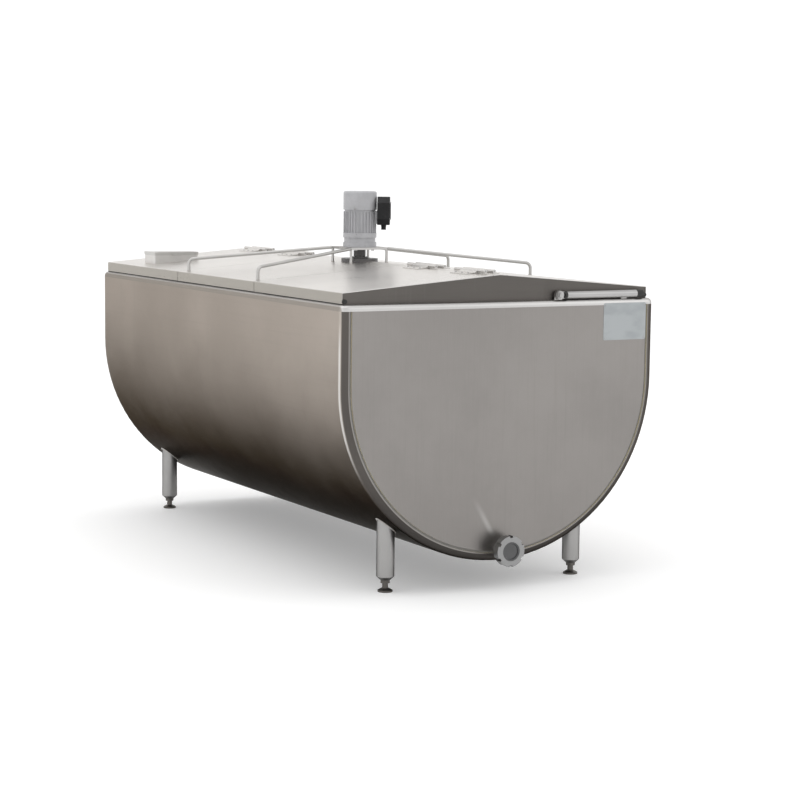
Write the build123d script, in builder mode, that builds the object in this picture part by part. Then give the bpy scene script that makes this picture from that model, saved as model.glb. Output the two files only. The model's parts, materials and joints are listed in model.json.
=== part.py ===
from build123d import *
from math import cos, radians, sin
import os

# Half-round open milk cooling tank with a gabled four-leaf lid and a top agitator.
# Millimetres. X runs across the tank, Y from the outlet end to the rear, Z up from the floor.
# The origin is on the floor in the middle of the overall footprint.

# Hull
tank_width = 1200.0
tank_length = 2125.0
floor_clearance = 96.0
straight_side = 246.0
insulation_thickness = 48.0
skin = 1.5
vessel_wall = 2.5
edge_round = 25.0
fit = 0.05
running = 0.3

# Seams between the end plates and the rolled shell edge
seam_width = 8.0
seam_depth = 6.0
seam_bead = 2.5
shell_lip = 3.0

# Rim
rim_height = 20.0
rim_round = 16.0
rim_sheet = 2.0
seal_width = 10.0
lid_gap = 3.0

# Roof
roof_side_inset = 14.0
skirt_height = 35.0
ridge_rise = 50.0
roof_sheet = 2.0
eave_round = 4.0
front_inset = 30.0
rear_inset = 20.0
gable_setback = 2.0
gable_sheet = 2.0
gable_foot = 14.0
leaf_seam = 3.0
bridge_width = 680.0
buffer_radius = 7.0
buffer_length = 8.0

# Ridge and hinges
ridge_half_width = 25.0
ridge_depth = 35.0
ledge_reach = 20.0
leaf_inner_gap = 2.0
hinge_offset = 17.0
hinge_lift = 8.0
barrel_radius = 6.0
pin_radius = 3.0
barrel_length = 110.0
end_barrel_length = 45.0
barrel_gap = 0.5
strap_reach = 38.0
strap_thickness = 3.0
rib_thickness = 4.0
rib_depth = 18.0

# Bridge beams
beam_web = 3.0
beam_flange = 40.0
beam_drop = 47.0

# Agitator and its drive
agitator_from_front = 1037.0
shaft_radius = 12.5
shaft_foot = 100.0
paddle_reach = 215.0
paddle_height = 120.0
paddle_thickness = 3.0
paddle_pitch = 30.0
paddle_hub_radius = 22.0
flange_radius = 68.0
flange_thickness = 8.0
hub_radius = 32.0
hub_height = 6.0
seal_radius = 20.0
coupling_radius = 22.5
stand_size = 160.0
stand_plate = 8.0
stand_height = 50.0
stand_bore = 30.0
stand_leg_radius = 5.0
stay_radius = 6.0
stay_rise = 44.0
stay_bend = 20.0
stay_eave_margin = 30.0
stay_seam_margin = 34.0
gear_radius = 62.0
gear_height = 52.0
gear_neck = 4.0
motor_radius = 57.0
fin_height = 4.0
fin_width = 3.0
fin_count = 32
motor_height = 95.0
cowl_height = 59.0
cowl_wall = 2.0
cowl_lap = 10.0
fan_radius = 50.0
fan_blades = 7
fan_shaft_radius = 7.0
bolt_radius = 4.0
bolt_head_radius = 6.5
bolt_head_height = 5.0
bolt_circle = 50.0

# Terminal box
box_turn = -30.0
box_width = 92.0
box_depth = 46.0
box_height = 104.0
box_chamfer = 22.0
box_base = 72.0
box_lid = 5.0
box_stand_off = 4.0
box_pad_height = 48.0
gland_radius = 9.0
gland_length = 18.0

# Outlet
outlet_lift = 43.0
pipe_radius = 26.5
pipe_wall = 1.5
gully_length = 150.0
stub_length = 38.0
male_radius = 39.0
male_length = 20.0
gasket_thickness = 3.0
cap_collar = 4.0
cap_boss_radius = 31.5
cap_dish = 3.0
nut_radius = 52.0
nut_length = 30.0
nut_slots = 6
slot_width = 11.0
slot_depth = 6.0

# Evaporator and its line stubs
evaporator_thickness = 3.5
evaporator_half_angle = 55.0
evaporator_margin = 150.0
channel_radius = 3.0
channel_count = 11
line_reach = 45.0
line_from_edge = 70.0
suction_radius = 11.1
liquid_radius = 6.35
line_wall = 1.0
line_collar = 4.0
line_collar_reach = 6.0
suction_angle = 29.7
liquid_angle = 49.5

# Legs and feet
leg_inset = 235.0
leg_from_end = 130.0
leg_radius = 30.15
leg_wall = 2.6
leg_bottom = 52.0
cone_height = 12.0
cone_radius = 17.0
spindle_radius = 10.0
spindle_top = 84.0
foot_radius = 25.0
foot_height = 12.0
lock_nut_height = 10.0
lock_nut_flat = 30.0

# Lid prop on the front rim
prop_margin = 7.7
prop_length = 340.0
prop_radius = 13.0
prop_lift = 3.0
prop_from_front = 15.0
eye_radius = 15.0
eye_thickness = 8.0
prop_tip = 60.0
prop_bolt_radius = 6.0
prop_tip_round = 6.0
knob_radius = 13.0
lug_thickness = 4.0
cradle_from_pivot = 250.0
cradle_width = 24.0
cradle_depth = 14.5

# Filling hatch on the rear left leaf
hatch_from_eave = 169.0
hatch_from_front = 1850.0
hatch_width = 186.0
hatch_depth = 104.0
hatch_rise = 2.0
hatch_wall = 2.0
hatch_corner = 8.0
hatch_lid_overlap = 3.0
hatch_lid_height = 10.0
hatch_barrel = 5.0
hatch_pin = 2.5
hatch_tab = 16.0

# Levels and places worked out from the sizes above
hull_radius = tank_width / 2
hull_centre = floor_clearance + hull_radius
shell_top = hull_centre + straight_side
rim_top = shell_top + rim_height
skirt_bottom = rim_top + lid_gap
roof_half_width = hull_radius - roof_side_inset
eave = skirt_bottom + skirt_height
ridge = eave + ridge_rise
slope = ridge_rise / roof_half_width
front_reach = stub_length + 2.0 + nut_length
y_front = (front_reach - tank_length) / 2
y_rear = y_front + tank_length
y_agitator = y_front + agitator_from_front
y_roof_front = y_front + front_inset
y_roof_rear = y_rear - rear_inset
y_bridge_front = y_agitator - bridge_width / 2
y_bridge_rear = y_agitator + bridge_width / 2
foam_outer = hull_radius - skin
foam_inner = foam_outer - insulation_thickness
vessel_inner = foam_inner - vessel_wall
end_gap = skin + insulation_thickness
y_vessel_front = y_front + end_gap
y_vessel_rear = y_rear - end_gap
window_radius = hull_radius - edge_round - shell_lip
plate_radius = window_radius - seam_width
leaf_inner = ridge_half_width + leaf_inner_gap
hinge_z = ridge - slope * hinge_offset + hinge_lift
gable_half = roof_half_width - roof_sheet - running
gable_under = roof_sheet + running
hatch_x = hatch_from_eave - roof_half_width
hatch_top = ridge + hatch_rise
stay_foot_x = roof_half_width - stay_eave_margin
stay_foot_y = bridge_width / 2 - stay_seam_margin
prop_x = gable_half - 2 * buffer_radius - prop_margin - prop_length
leg_x = hull_radius - leg_inset
outlet_height = floor_clearance + outlet_lift
stand_top = ridge + stand_height
gear_top = stand_top + gear_height
motor_top = gear_top + motor_height
cowl_top = motor_top + cowl_height
sides = {"left": -1, "right": 1}

os.makedirs("parts", exist_ok=True)


def save(part, name):
    """Label a finished piece and write it to its own file."""
    part.label = name
    export_step(part, f"parts/{name}.step")


def upright(y):
    """Sketch plane across the tank at the given Y, facing the outlet end."""
    return Plane(origin=(0, y, 0), x_dir=(1, 0, 0), z_dir=(0, -1, 0))


def roof_z(x):
    """Height of the roof's upper surface at a distance from the ridge."""
    return ridge - slope * abs(x)


def hull_face(radius, top):
    """U-shaped face: two straight sides and a half circle about the hull's centre."""
    with BuildSketch(Plane.XY, mode=Mode.PRIVATE) as face:
        with BuildLine():
            Line((-radius, top), (-radius, hull_centre))
            ThreePointArc((-radius, hull_centre), (0, hull_centre - radius), (radius, hull_centre))
            Line((radius, hull_centre), (radius, top))
            Line((radius, top), (-radius, top))
        make_face()
    return face.sketch


def hull_block(radius, top, y_start, y_end, rounding=0.0):
    """Solid with the hull's section between two Y places, its end edges rounded."""
    with BuildPart(mode=Mode.PRIVATE) as block:
        with BuildSketch(upright(y_start)):
            add(hull_face(radius, top))
        extrude(amount=-(y_end - y_start))
        if rounding > 0:
            ends = block.faces().filter_by(Axis.Y).edges()
            fillet(ends.filter_by(lambda edge: edge.center().Z < top - 1), radius=rounding)
    return block.part


def profile_block(points, y_start, y_end):
    """Solid with a straight-sided section given as X, Z points, between two Y places."""
    with BuildPart(mode=Mode.PRIVATE) as block:
        with BuildSketch(upright(y_start)):
            with BuildLine():
                Polyline(*points, close=True)
            make_face()
        extrude(amount=-(y_end - y_start))
    return block.part


def roof_block():
    """Everything under the roof's upper surface, used to trim what stands on the roof."""
    half = tank_width
    bottom = rim_top - tank_width
    points = [(-half, roof_z(half)), (0, ridge), (half, roof_z(half)), (half, bottom), (-half, bottom)]
    return profile_block(points, y_front, y_rear)


def rod_along_y(radius, x, z, y_start, y_end):
    """Round bar along Y."""
    with BuildPart(mode=Mode.PRIVATE) as rod:
        with BuildSketch(upright(y_start)):
            with Locations((x, z)):
                Circle(radius)
        extrude(amount=-(y_end - y_start))
    return rod.part


# Evaporator plate: a curved plate with long flow channels, welded under the vessel
def evaporator_face(extra):
    """Part of a ring hugging the vessel's underside."""
    reach = 2 * hull_radius
    half = radians(evaporator_half_angle)
    with BuildSketch(Plane.XY, mode=Mode.PRIVATE) as face:
        with Locations((0, hull_centre)):
            Circle(foam_inner + evaporator_thickness + extra)
            Circle(foam_inner, mode=Mode.SUBTRACT)
        with BuildLine():
            Polyline(
                (0, hull_centre),
                (-reach * sin(half), hull_centre - reach * cos(half)),
                (reach * sin(half), hull_centre - reach * cos(half)),
                close=True,
            )
        make_face(mode=Mode.INTERSECT)
    return face.sketch


y_evaporator_front = y_vessel_front + evaporator_margin + gully_length / 2
y_evaporator_rear = y_vessel_rear - evaporator_margin
channel_circle = foam_inner + evaporator_thickness
with BuildPart() as evaporator_plate:
    with BuildSketch(upright(y_evaporator_front)):
        add(evaporator_face(0))
        for index in range(channel_count):
            share = index / (channel_count - 1) - 0.5
            angle = radians(1.8 * evaporator_half_angle * share)
            x = channel_circle * sin(angle)
            with Locations((x, hull_centre - channel_circle * cos(angle))):
                Circle(channel_radius)
    extrude(amount=-(y_evaporator_rear - y_evaporator_front))
save(evaporator_plate.part, "evaporator_plate")

# Inner vessel: half-round trough with a gully that drains it to the outlet
gully_radius = pipe_radius + vessel_wall
y_gully_rear = y_vessel_front + gully_length
vessel_block = hull_block(foam_inner, rim_top, y_vessel_front, y_vessel_rear, edge_round)
gully_block = rod_along_y(gully_radius, 0, outlet_height, y_vessel_front, y_gully_rear)
with BuildPart() as inner_vessel:
    add(vessel_block)
    add(gully_block)
    add(
        hull_block(
            vessel_inner,
            rim_top,
            y_vessel_front + vessel_wall,
            y_vessel_rear - vessel_wall,
            edge_round - vessel_wall,
        ),
        mode=Mode.SUBTRACT,
    )
    y_start = y_vessel_front + vessel_wall
    y_end = y_gully_rear - vessel_wall
    add(rod_along_y(pipe_radius, 0, outlet_height, y_start, y_end), mode=Mode.SUBTRACT)
    bore = pipe_radius - pipe_wall
    add(rod_along_y(bore, 0, outlet_height, y_vessel_front - 1, y_start + 1), mode=Mode.SUBTRACT)
save(inner_vessel.part, "inner_vessel")


# Insulation: foam that fills everything between the vessel and the shell
def line_rod(degrees, radius, start=0.0, end=line_reach + skin + insulation_thickness):
    """Round bar square to the belly, from the evaporator's outer face outwards."""
    angle = radians(degrees)
    outwards = Vector(sin(angle), 0, -cos(angle))
    origin = Vector(0, y_line, hull_centre) + outwards * (channel_circle + start)
    with BuildPart(mode=Mode.PRIVATE) as rod:
        with BuildSketch(Plane(origin=origin, x_dir=(0, 1, 0), z_dir=outwards)):
            Circle(radius)
        extrude(amount=end - evaporator_thickness - start)
    return rod.part


y_line = y_evaporator_rear - line_from_edge
line_radii = {suction_angle: suction_radius, liquid_angle: liquid_radius}
with BuildPart() as insulation_foam:
    add(hull_block(foam_outer, shell_top, y_front + skin, y_rear - skin, edge_round - skin))
    add(vessel_block, mode=Mode.SUBTRACT)
    add(gully_block, mode=Mode.SUBTRACT)
    add(evaporator_plate.part, mode=Mode.SUBTRACT)
    for y_groove in (y_front + skin, y_rear - skin - seam_depth):
        with BuildSketch(upright(y_groove)):
            add(hull_face(window_radius, shell_top))
            add(hull_face(plate_radius, shell_top), mode=Mode.SUBTRACT)
        extrude(amount=-seam_depth, mode=Mode.SUBTRACT)
    add(rod_along_y(pipe_radius, 0, outlet_height, y_front, y_vessel_front), mode=Mode.SUBTRACT)
    for degrees, radius in line_radii.items():
        add(line_rod(degrees, radius + fit), mode=Mode.SUBTRACT)
save(insulation_foam.part, "insulation_foam")

# Outer shell: one sheet round the sides and belly, its end edges rolled inwards
with BuildPart() as outer_shell:
    add(hull_block(hull_radius, shell_top, y_front, y_rear, edge_round))
    add(
        hull_block(foam_outer, shell_top, y_front + skin, y_rear - skin, edge_round - skin),
        mode=Mode.SUBTRACT,
    )
    add(hull_block(window_radius, shell_top, y_front - 1, y_rear + 1), mode=Mode.SUBTRACT)
    add(rod_along_y(pipe_radius + fit, 0, outlet_height, y_front, y_gully_rear), mode=Mode.SUBTRACT)
    for degrees, radius in line_radii.items():
        add(line_rod(degrees, radius + fit), mode=Mode.SUBTRACT)
save(outer_shell.part, "outer_shell")

# End plates and the dark sealant beads between them and the shell
with BuildPart() as front_plate:
    add(hull_block(plate_radius, shell_top, y_front, y_front + skin))
    add(rod_along_y(pipe_radius + fit, 0, outlet_height, y_front, y_front + skin), mode=Mode.SUBTRACT)
save(front_plate.part, "front_plate")

with BuildPart() as rear_plate:
    add(hull_block(plate_radius, shell_top, y_rear - skin, y_rear))
save(rear_plate.part, "rear_plate")

bead_places = (y_front + skin + seam_depth - seam_bead, y_rear - skin - seam_depth)
with BuildPart() as end_seams:
    for y_bead in bead_places:
        with BuildSketch(upright(y_bead)):
            add(hull_face(window_radius, shell_top))
            add(hull_face(plate_radius, shell_top), mode=Mode.SUBTRACT)
        extrude(amount=-seam_bead)
    add(rod_along_y(pipe_radius, 0, outlet_height, y_front, y_vessel_front), mode=Mode.SUBTRACT)
save(end_seams.part, "end_seams")

# Rim frame: folded channel with a rolled outer edge that caps the foam
with BuildPart() as rim_frame:
    with BuildSketch(Plane.XY.offset(shell_top)):
        with Locations((0, (y_front + y_rear) / 2)):
            RectangleRounded(tank_width, tank_length, edge_round)
    extrude(amount=rim_height)
    fillet(rim_frame.faces().sort_by(Axis.Z)[-1].edges(), radius=rim_round)
    with BuildSketch(Plane.XY.offset(shell_top)):
        with Locations((0, (y_front + y_rear) / 2)):
            RectangleRounded(
                tank_width - 2 * rim_sheet, tank_length - 2 * rim_sheet, edge_round - rim_sheet
            )
            Rectangle(
                2 * (foam_inner + rim_sheet), tank_length - 2 * (end_gap - rim_sheet), mode=Mode.SUBTRACT
            )
    extrude(amount=rim_height - rim_round, mode=Mode.SUBTRACT)
    with BuildSketch(Plane.XY.offset(rim_top - rim_round)):
        with Locations((0, (y_front + y_rear) / 2)):
            RectangleRounded(
                tank_width - 2 * rim_round, tank_length - 2 * rim_round, edge_round - rim_round
            )
            Rectangle(
                2 * (foam_inner + rim_sheet), tank_length - 2 * (end_gap - rim_sheet), mode=Mode.SUBTRACT
            )
    extrude(amount=rim_round - rim_sheet, mode=Mode.SUBTRACT)
    with BuildSketch(Plane.XY.offset(shell_top)):
        with Locations((0, (y_front + y_rear) / 2)):
            Rectangle(2 * foam_inner, tank_length - 2 * end_gap)
    extrude(amount=rim_height, mode=Mode.SUBTRACT)
save(rim_frame.part, "rim_frame")

seal_height = lid_gap - running
seal_x = roof_half_width - roof_sheet / 2 - seal_width / 3
with BuildPart() as rim_seals:
    with BuildSketch(Plane.XY.offset(rim_top)):
        with Locations((0, (y_roof_front + y_roof_rear) / 2)):
            with GridLocations(2 * seal_x, 0, 2, 1):
                Rectangle(seal_width, y_roof_rear - y_roof_front - 2 * (gable_setback + gable_sheet))
        with Locations((0, y_agitator)):
            with GridLocations(0, bridge_width, 1, 2):
                Rectangle(tank_width, beam_web + 2 * running, mode=Mode.SUBTRACT)
    extrude(amount=seal_height)
save(rim_seals.part, "rim_seals")

# Gable ends: upright plates that close the roof's two ends, with a folded foot on the rim
gable_points = [
    (-gable_half, rim_top),
    (-gable_half, roof_z(gable_half) - gable_under),
    (0, ridge - gable_under),
    (gable_half, roof_z(gable_half) - gable_under),
    (gable_half, rim_top),
]
gable_foot_points = [
    (-vessel_inner, rim_top),
    (-vessel_inner, rim_top + gable_sheet),
    (vessel_inner, rim_top + gable_sheet),
    (vessel_inner, rim_top),
]
y_gable_front = y_roof_front + gable_setback
y_gable_rear = y_roof_rear - gable_setback - gable_sheet
gable_places = {
    "gable_end_front": (y_gable_front, y_gable_front + gable_sheet),
    "gable_end_rear": (y_gable_rear, y_gable_rear - gable_foot),
}
for name, (y_plate, y_foot) in gable_places.items():
    with BuildPart() as gable_end:
        add(profile_block(gable_points, y_plate, y_plate + gable_sheet))
        add(profile_block(gable_foot_points, y_foot, y_foot + gable_foot))
    save(gable_end.part, name)

with BuildPart() as gable_buffers:
    for y_start in (y_gable_front - buffer_length, y_gable_rear + gable_sheet):
        for side in sides.values():
            buffer_x = side * (gable_half - buffer_radius)
            buffer_z = rim_top + buffer_radius + lid_gap
            add(rod_along_y(buffer_radius, buffer_x, buffer_z, y_start, y_start + buffer_length))
save(gable_buffers.part, "gable_buffers")

# Bridge beams: cross members that carry the fixed bridge and close the leaf seams from below
beam_inner = vessel_inner - 2 * running
beam_points = [
    (-gable_half, rim_top),
    (-gable_half, roof_z(gable_half) - gable_under),
    (0, ridge - gable_under),
    (gable_half, roof_z(gable_half) - gable_under),
    (gable_half, rim_top),
    (beam_inner, rim_top),
    (beam_inner, rim_top - beam_drop),
    (-beam_inner, rim_top - beam_drop),
    (-beam_inner, rim_top),
]
flange_inner = ridge_half_width + ledge_reach + 1.0
beam_places = {"bridge_beam_front": y_bridge_front, "bridge_beam_rear": y_bridge_rear}
for name, y_beam in beam_places.items():
    with BuildPart() as bridge_beam:
        add(profile_block(beam_points, y_beam - beam_web / 2, y_beam + beam_web / 2))
        for side in sides.values():
            flange_points = [
                (side * flange_inner, roof_z(flange_inner) - gable_under),
                (side * gable_half, roof_z(gable_half) - gable_under),
                (side * gable_half, roof_z(gable_half) - gable_under - roof_sheet),
                (side * flange_inner, roof_z(flange_inner) - gable_under - roof_sheet),
            ]
            add(profile_block(flange_points, y_beam - beam_flange / 2, y_beam + beam_flange / 2))
        foot_points = [
            (-beam_inner, rim_top - beam_drop),
            (beam_inner, rim_top - beam_drop),
            (beam_inner, rim_top - beam_drop + roof_sheet),
            (-beam_inner, rim_top - beam_drop + roof_sheet),
        ]
        add(profile_block(foot_points, y_beam - beam_flange / 2, y_beam + beam_flange / 2))
    save(bridge_beam.part, name)


# Ridge beams and their hinges
def hinge_stations(y_start, y_end):
    """Middles of the two hinges of a leaf."""
    length = y_end - y_start
    return [y_start + length * share for share in (0.25, 0.75)]


ledge_drop = roof_sheet + 1.0
channel_points = [
    (-ridge_half_width, roof_z(ridge_half_width)),
    (0, ridge),
    (ridge_half_width, roof_z(ridge_half_width)),
    (ridge_half_width, ridge - ridge_depth),
    (ridge_half_width - roof_sheet, ridge - ridge_depth),
    (ridge_half_width - roof_sheet, roof_z(ridge_half_width) - roof_sheet),
    (0, ridge - roof_sheet),
    (roof_sheet - ridge_half_width, roof_z(ridge_half_width) - roof_sheet),
    (roof_sheet - ridge_half_width, ridge - ridge_depth),
    (-ridge_half_width, ridge - ridge_depth),
]
cap_points = channel_points[:3] + [
    (ridge_half_width, roof_z(ridge_half_width) - roof_sheet),
    (0, ridge - roof_sheet),
    (-ridge_half_width, roof_z(ridge_half_width) - roof_sheet),
]


def fixed_barrel_face(side):
    """Fixed hinge barrel with its foot on the ridge."""
    inner = hinge_offset - barrel_radius + 2
    outer = hinge_offset + barrel_radius - 2
    with BuildSketch(Plane.XY, mode=Mode.PRIVATE) as face:
        with BuildLine():
            Polyline(
                (side * inner, hinge_z),
                (side * outer, hinge_z),
                (side * outer, roof_z(outer) - roof_sheet / 2),
                (side * inner, roof_z(inner) - roof_sheet / 2),
                close=True,
            )
        make_face()
        with Locations((side * hinge_offset, hinge_z)):
            Circle(barrel_radius)
            Circle(pin_radius + fit / 2, mode=Mode.SUBTRACT)
    return face.sketch


def leaf_barrel_face(side):
    """Leaf hinge barrel with its strap lying on the leaf."""
    strap_start = leaf_inner + 1.5
    strap_end = leaf_inner + strap_reach
    with BuildSketch(Plane.XY, mode=Mode.PRIVATE) as face:
        with BuildLine():
            Polyline(
                (side * hinge_offset, hinge_z - barrel_radius),
                (side * hinge_offset, hinge_z),
                (side * (hinge_offset + barrel_radius), hinge_z),
                (side * (strap_start + strap_thickness), roof_z(strap_start) + strap_thickness),
                (side * strap_end, roof_z(strap_end) + strap_thickness),
                (side * strap_end, roof_z(strap_end) - roof_sheet / 2),
                (side * strap_start, roof_z(strap_start) - roof_sheet / 2),
                (side * strap_start, roof_z(strap_start)),
                close=True,
            )
        make_face()
        with Locations((side * hinge_offset, hinge_z)):
            Circle(barrel_radius)
            Circle(pin_radius + fit, mode=Mode.SUBTRACT)
    return face.sketch


leaf_spans = {
    "front": (y_roof_front, y_bridge_front - leaf_seam / 2),
    "rear": (y_bridge_rear + leaf_seam / 2, y_roof_rear),
}
channel_spans = {
    "front": (y_gable_front + gable_sheet, y_bridge_front - beam_web / 2),
    "rear": (y_bridge_rear + beam_web / 2, y_gable_rear),
}
barrel_pitch = barrel_length / 2 + barrel_gap + end_barrel_length / 2
for end, (y_start, y_end) in leaf_spans.items():
    y_channel, y_channel_end = channel_spans[end]
    stations = hinge_stations(y_start, y_end)
    with BuildPart() as ridge_beam:
        add(profile_block(channel_points, y_channel, y_channel_end))
        add(profile_block(cap_points, y_start, y_end))
        for side in sides.values():
            ledge_outer = ridge_half_width + ledge_reach
            ledge_points = [
                (side * (ridge_half_width - roof_sheet), roof_z(ridge_half_width) - ledge_drop),
                (side * ledge_outer, roof_z(ledge_outer) - ledge_drop),
                (side * ledge_outer, roof_z(ledge_outer) - ledge_drop - roof_sheet),
                (side * (ridge_half_width - roof_sheet), roof_z(ridge_half_width) - ledge_drop - roof_sheet),
            ]
            add(profile_block(ledge_points, y_channel, y_channel_end))
            for y_middle in stations:
                for y_barrel in (y_middle - barrel_pitch, y_middle + barrel_pitch):
                    with BuildSketch(upright(y_barrel - end_barrel_length / 2)):
                        add(fixed_barrel_face(side))
                    extrude(amount=-end_barrel_length)
    save(ridge_beam.part, f"ridge_beam_{end}")

with BuildPart() as hinge_pins:
    pin_half = barrel_pitch + end_barrel_length / 2
    for y_start, y_end in leaf_spans.values():
        for side in sides.values():
            for y_middle in hinge_stations(y_start, y_end):
                x = side * hinge_offset
                add(rod_along_y(pin_radius, x, hinge_z, y_middle - pin_half, y_middle + pin_half))
save(hinge_pins.part, "hinge_pins")


# Filling hatch collar, part of the rear left leaf
y_hatch = y_front + hatch_from_front
collar_top = hatch_top - hatch_lid_height


def hatch_column(width, depth, bottom, top):
    """Upright rectangular block centred on the filling hatch."""
    with BuildPart(mode=Mode.PRIVATE) as column:
        with BuildSketch(Plane.XY.offset(bottom)):
            with Locations((hatch_x, y_hatch)):
                RectangleRounded(width, depth, hatch_corner)
        extrude(amount=top - bottom)
    return column.part


hatch_hinge_y = y_hatch + hatch_depth / 2 + hatch_barrel + 1.0
hatch_hinge_z = collar_top + 1.0
hatch_barrel_places = (-hatch_width / 3.5, hatch_width / 3.5)
hatch_barrel_length = 24.0
hatch_fixed_length = 14.0


# Lid leaves: folded sheets with an outer skirt, two stiffening ribs and two hinge straps
def lid_leaf(side, y_start, y_end, with_hatch):
    """One leaf of the lid between two Y places."""
    outer = roof_half_width
    inner_skin = outer - roof_sheet
    points = [
        (side * leaf_inner, roof_z(leaf_inner)),
        (side * outer, roof_z(outer)),
        (side * outer, skirt_bottom),
        (side * inner_skin, skirt_bottom),
        (side * inner_skin, roof_z(inner_skin) - roof_sheet),
        (side * leaf_inner, roof_z(leaf_inner) - roof_sheet),
    ]
    rib_inner = leaf_inner + ledge_reach + 8
    rib_outer = inner_skin - 12
    rib_points = [
        (side * rib_inner, roof_z(rib_inner) - roof_sheet / 2),
        (side * rib_outer, roof_z(rib_outer) - roof_sheet / 2),
        (side * rib_outer, roof_z(rib_outer) - rib_depth),
        (side * rib_inner, roof_z(rib_inner) - rib_depth),
    ]
    with BuildPart() as leaf:
        add(profile_block(points, y_start, y_end))
        fold = leaf.edges().filter_by(Axis.Y).sort_by_distance((side * outer, y_start, roof_z(outer)))
        fillet(fold[0], radius=eave_round)
        for y_middle in hinge_stations(y_start, y_end):
            add(profile_block(rib_points, y_middle - rib_thickness / 2, y_middle + rib_thickness / 2))
            with BuildSketch(upright(y_middle - barrel_length / 2)):
                add(leaf_barrel_face(side))
            extrude(amount=-barrel_length)
        if with_hatch:
            add(hatch_column(hatch_width, hatch_depth, eave - roof_sheet, collar_top))
            for shift in hatch_barrel_places:
                for end in (-1, 1):
                    x = hatch_x + shift + end * (hatch_barrel_length + hatch_fixed_length + 1) / 2
                    with BuildSketch(Plane.YZ.offset(x - hatch_fixed_length / 2)):
                        with Locations((hatch_hinge_y, hatch_hinge_z)):
                            Circle(hatch_barrel)
                        with Locations((hatch_hinge_y - hatch_barrel / 2 - 1, collar_top - hatch_barrel)):
                            Rectangle(hatch_barrel + 2, 2 * hatch_barrel)
                        with Locations((hatch_hinge_y, hatch_hinge_z)):
                            Circle(hatch_pin + fit / 2, mode=Mode.SUBTRACT)
                    extrude(amount=hatch_fixed_length)
            inner_width = hatch_width - 2 * hatch_wall
            inner_depth = hatch_depth - 2 * hatch_wall
            add(hatch_column(inner_width, inner_depth, rim_top, ridge), mode=Mode.SUBTRACT)
            below = profile_block(
                [
                    (-leaf_inner, roof_z(leaf_inner) - roof_sheet),
                    (-inner_skin, roof_z(inner_skin) - roof_sheet),
                    (-inner_skin, skirt_bottom),
                    (-leaf_inner, skirt_bottom),
                ],
                y_hatch - hatch_depth,
                y_hatch + hatch_depth,
            )
            add(below, mode=Mode.SUBTRACT)
    return leaf.part


for end, (y_start, y_end) in leaf_spans.items():
    for name, side in sides.items():
        has_hatch = end == "rear" and name == "left"
        save(lid_leaf(side, y_start, y_end, has_hatch), f"lid_{end}_{name}")

# Filling hatch lid: shallow tray with a lifting tab at the front and barrels at the rear
lid_width = hatch_width + 2 * (running + hatch_wall)
lid_depth = hatch_depth + 2 * (running + hatch_wall)
with BuildPart() as fill_hatch_lid:
    add(hatch_column(lid_width, lid_depth, collar_top - hatch_lid_overlap, hatch_top))
    with BuildSketch(Plane.XY.offset(collar_top - hatch_lid_overlap)):
        with Locations((hatch_x, y_hatch + hatch_depth / 2)):
            Rectangle(hatch_width + 40, 2 * hatch_corner + 2)
    extrude(amount=hatch_lid_overlap + running, mode=Mode.SUBTRACT)
    tray_width = lid_width - 2 * hatch_wall
    tray_depth = lid_depth - 2 * hatch_wall
    tray = hatch_column(tray_width, tray_depth, collar_top - hatch_lid_overlap, collar_top + running)
    add(tray, mode=Mode.SUBTRACT)
    with BuildSketch(Plane.XY.offset(collar_top)):
        with Locations((hatch_x, y_hatch - lid_depth / 2 - hatch_tab / 2)):
            RectangleRounded(2.5 * hatch_tab, hatch_tab + 4, 1.9)
    extrude(amount=hatch_wall)
    with BuildSketch(Plane.XY.offset(collar_top - hatch_lid_overlap)):
        with Locations((hatch_x, hatch_hinge_y)):
            Rectangle(hatch_width + 40, 2 * (hatch_hinge_y - y_hatch - hatch_depth / 2))
    extrude(amount=hatch_top, mode=Mode.SUBTRACT)
    for shift in hatch_barrel_places:
        x = hatch_x + shift
        with BuildSketch(Plane.YZ.offset(x - hatch_barrel_length / 2)):
            with Locations((hatch_hinge_y, hatch_hinge_z)):
                Circle(hatch_barrel)
            with BuildLine():
                Polyline(
                    (hatch_hinge_y, hatch_hinge_z + hatch_barrel),
                    (hatch_hinge_y, hatch_hinge_z),
                    (y_hatch + hatch_depth / 2 - 4, collar_top + running),
                    (y_hatch + hatch_depth / 2 - 4, hatch_top),
                    close=True,
                )
            make_face()
            with Locations((hatch_hinge_y, hatch_hinge_z)):
                Circle(hatch_pin + fit, mode=Mode.SUBTRACT)
        extrude(amount=hatch_barrel_length)
save(fill_hatch_lid.part, "fill_hatch_lid")

with BuildPart() as fill_hatch_pins:
    for shift in hatch_barrel_places:
        half = hatch_barrel_length / 2 + hatch_fixed_length + 0.5
        with BuildSketch(Plane.YZ.offset(hatch_x + shift - half)):
            with Locations((hatch_hinge_y, hatch_hinge_z)):
                Circle(hatch_pin)
        extrude(amount=2 * half)
save(fill_hatch_pins.part, "fill_hatch_pins")

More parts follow.
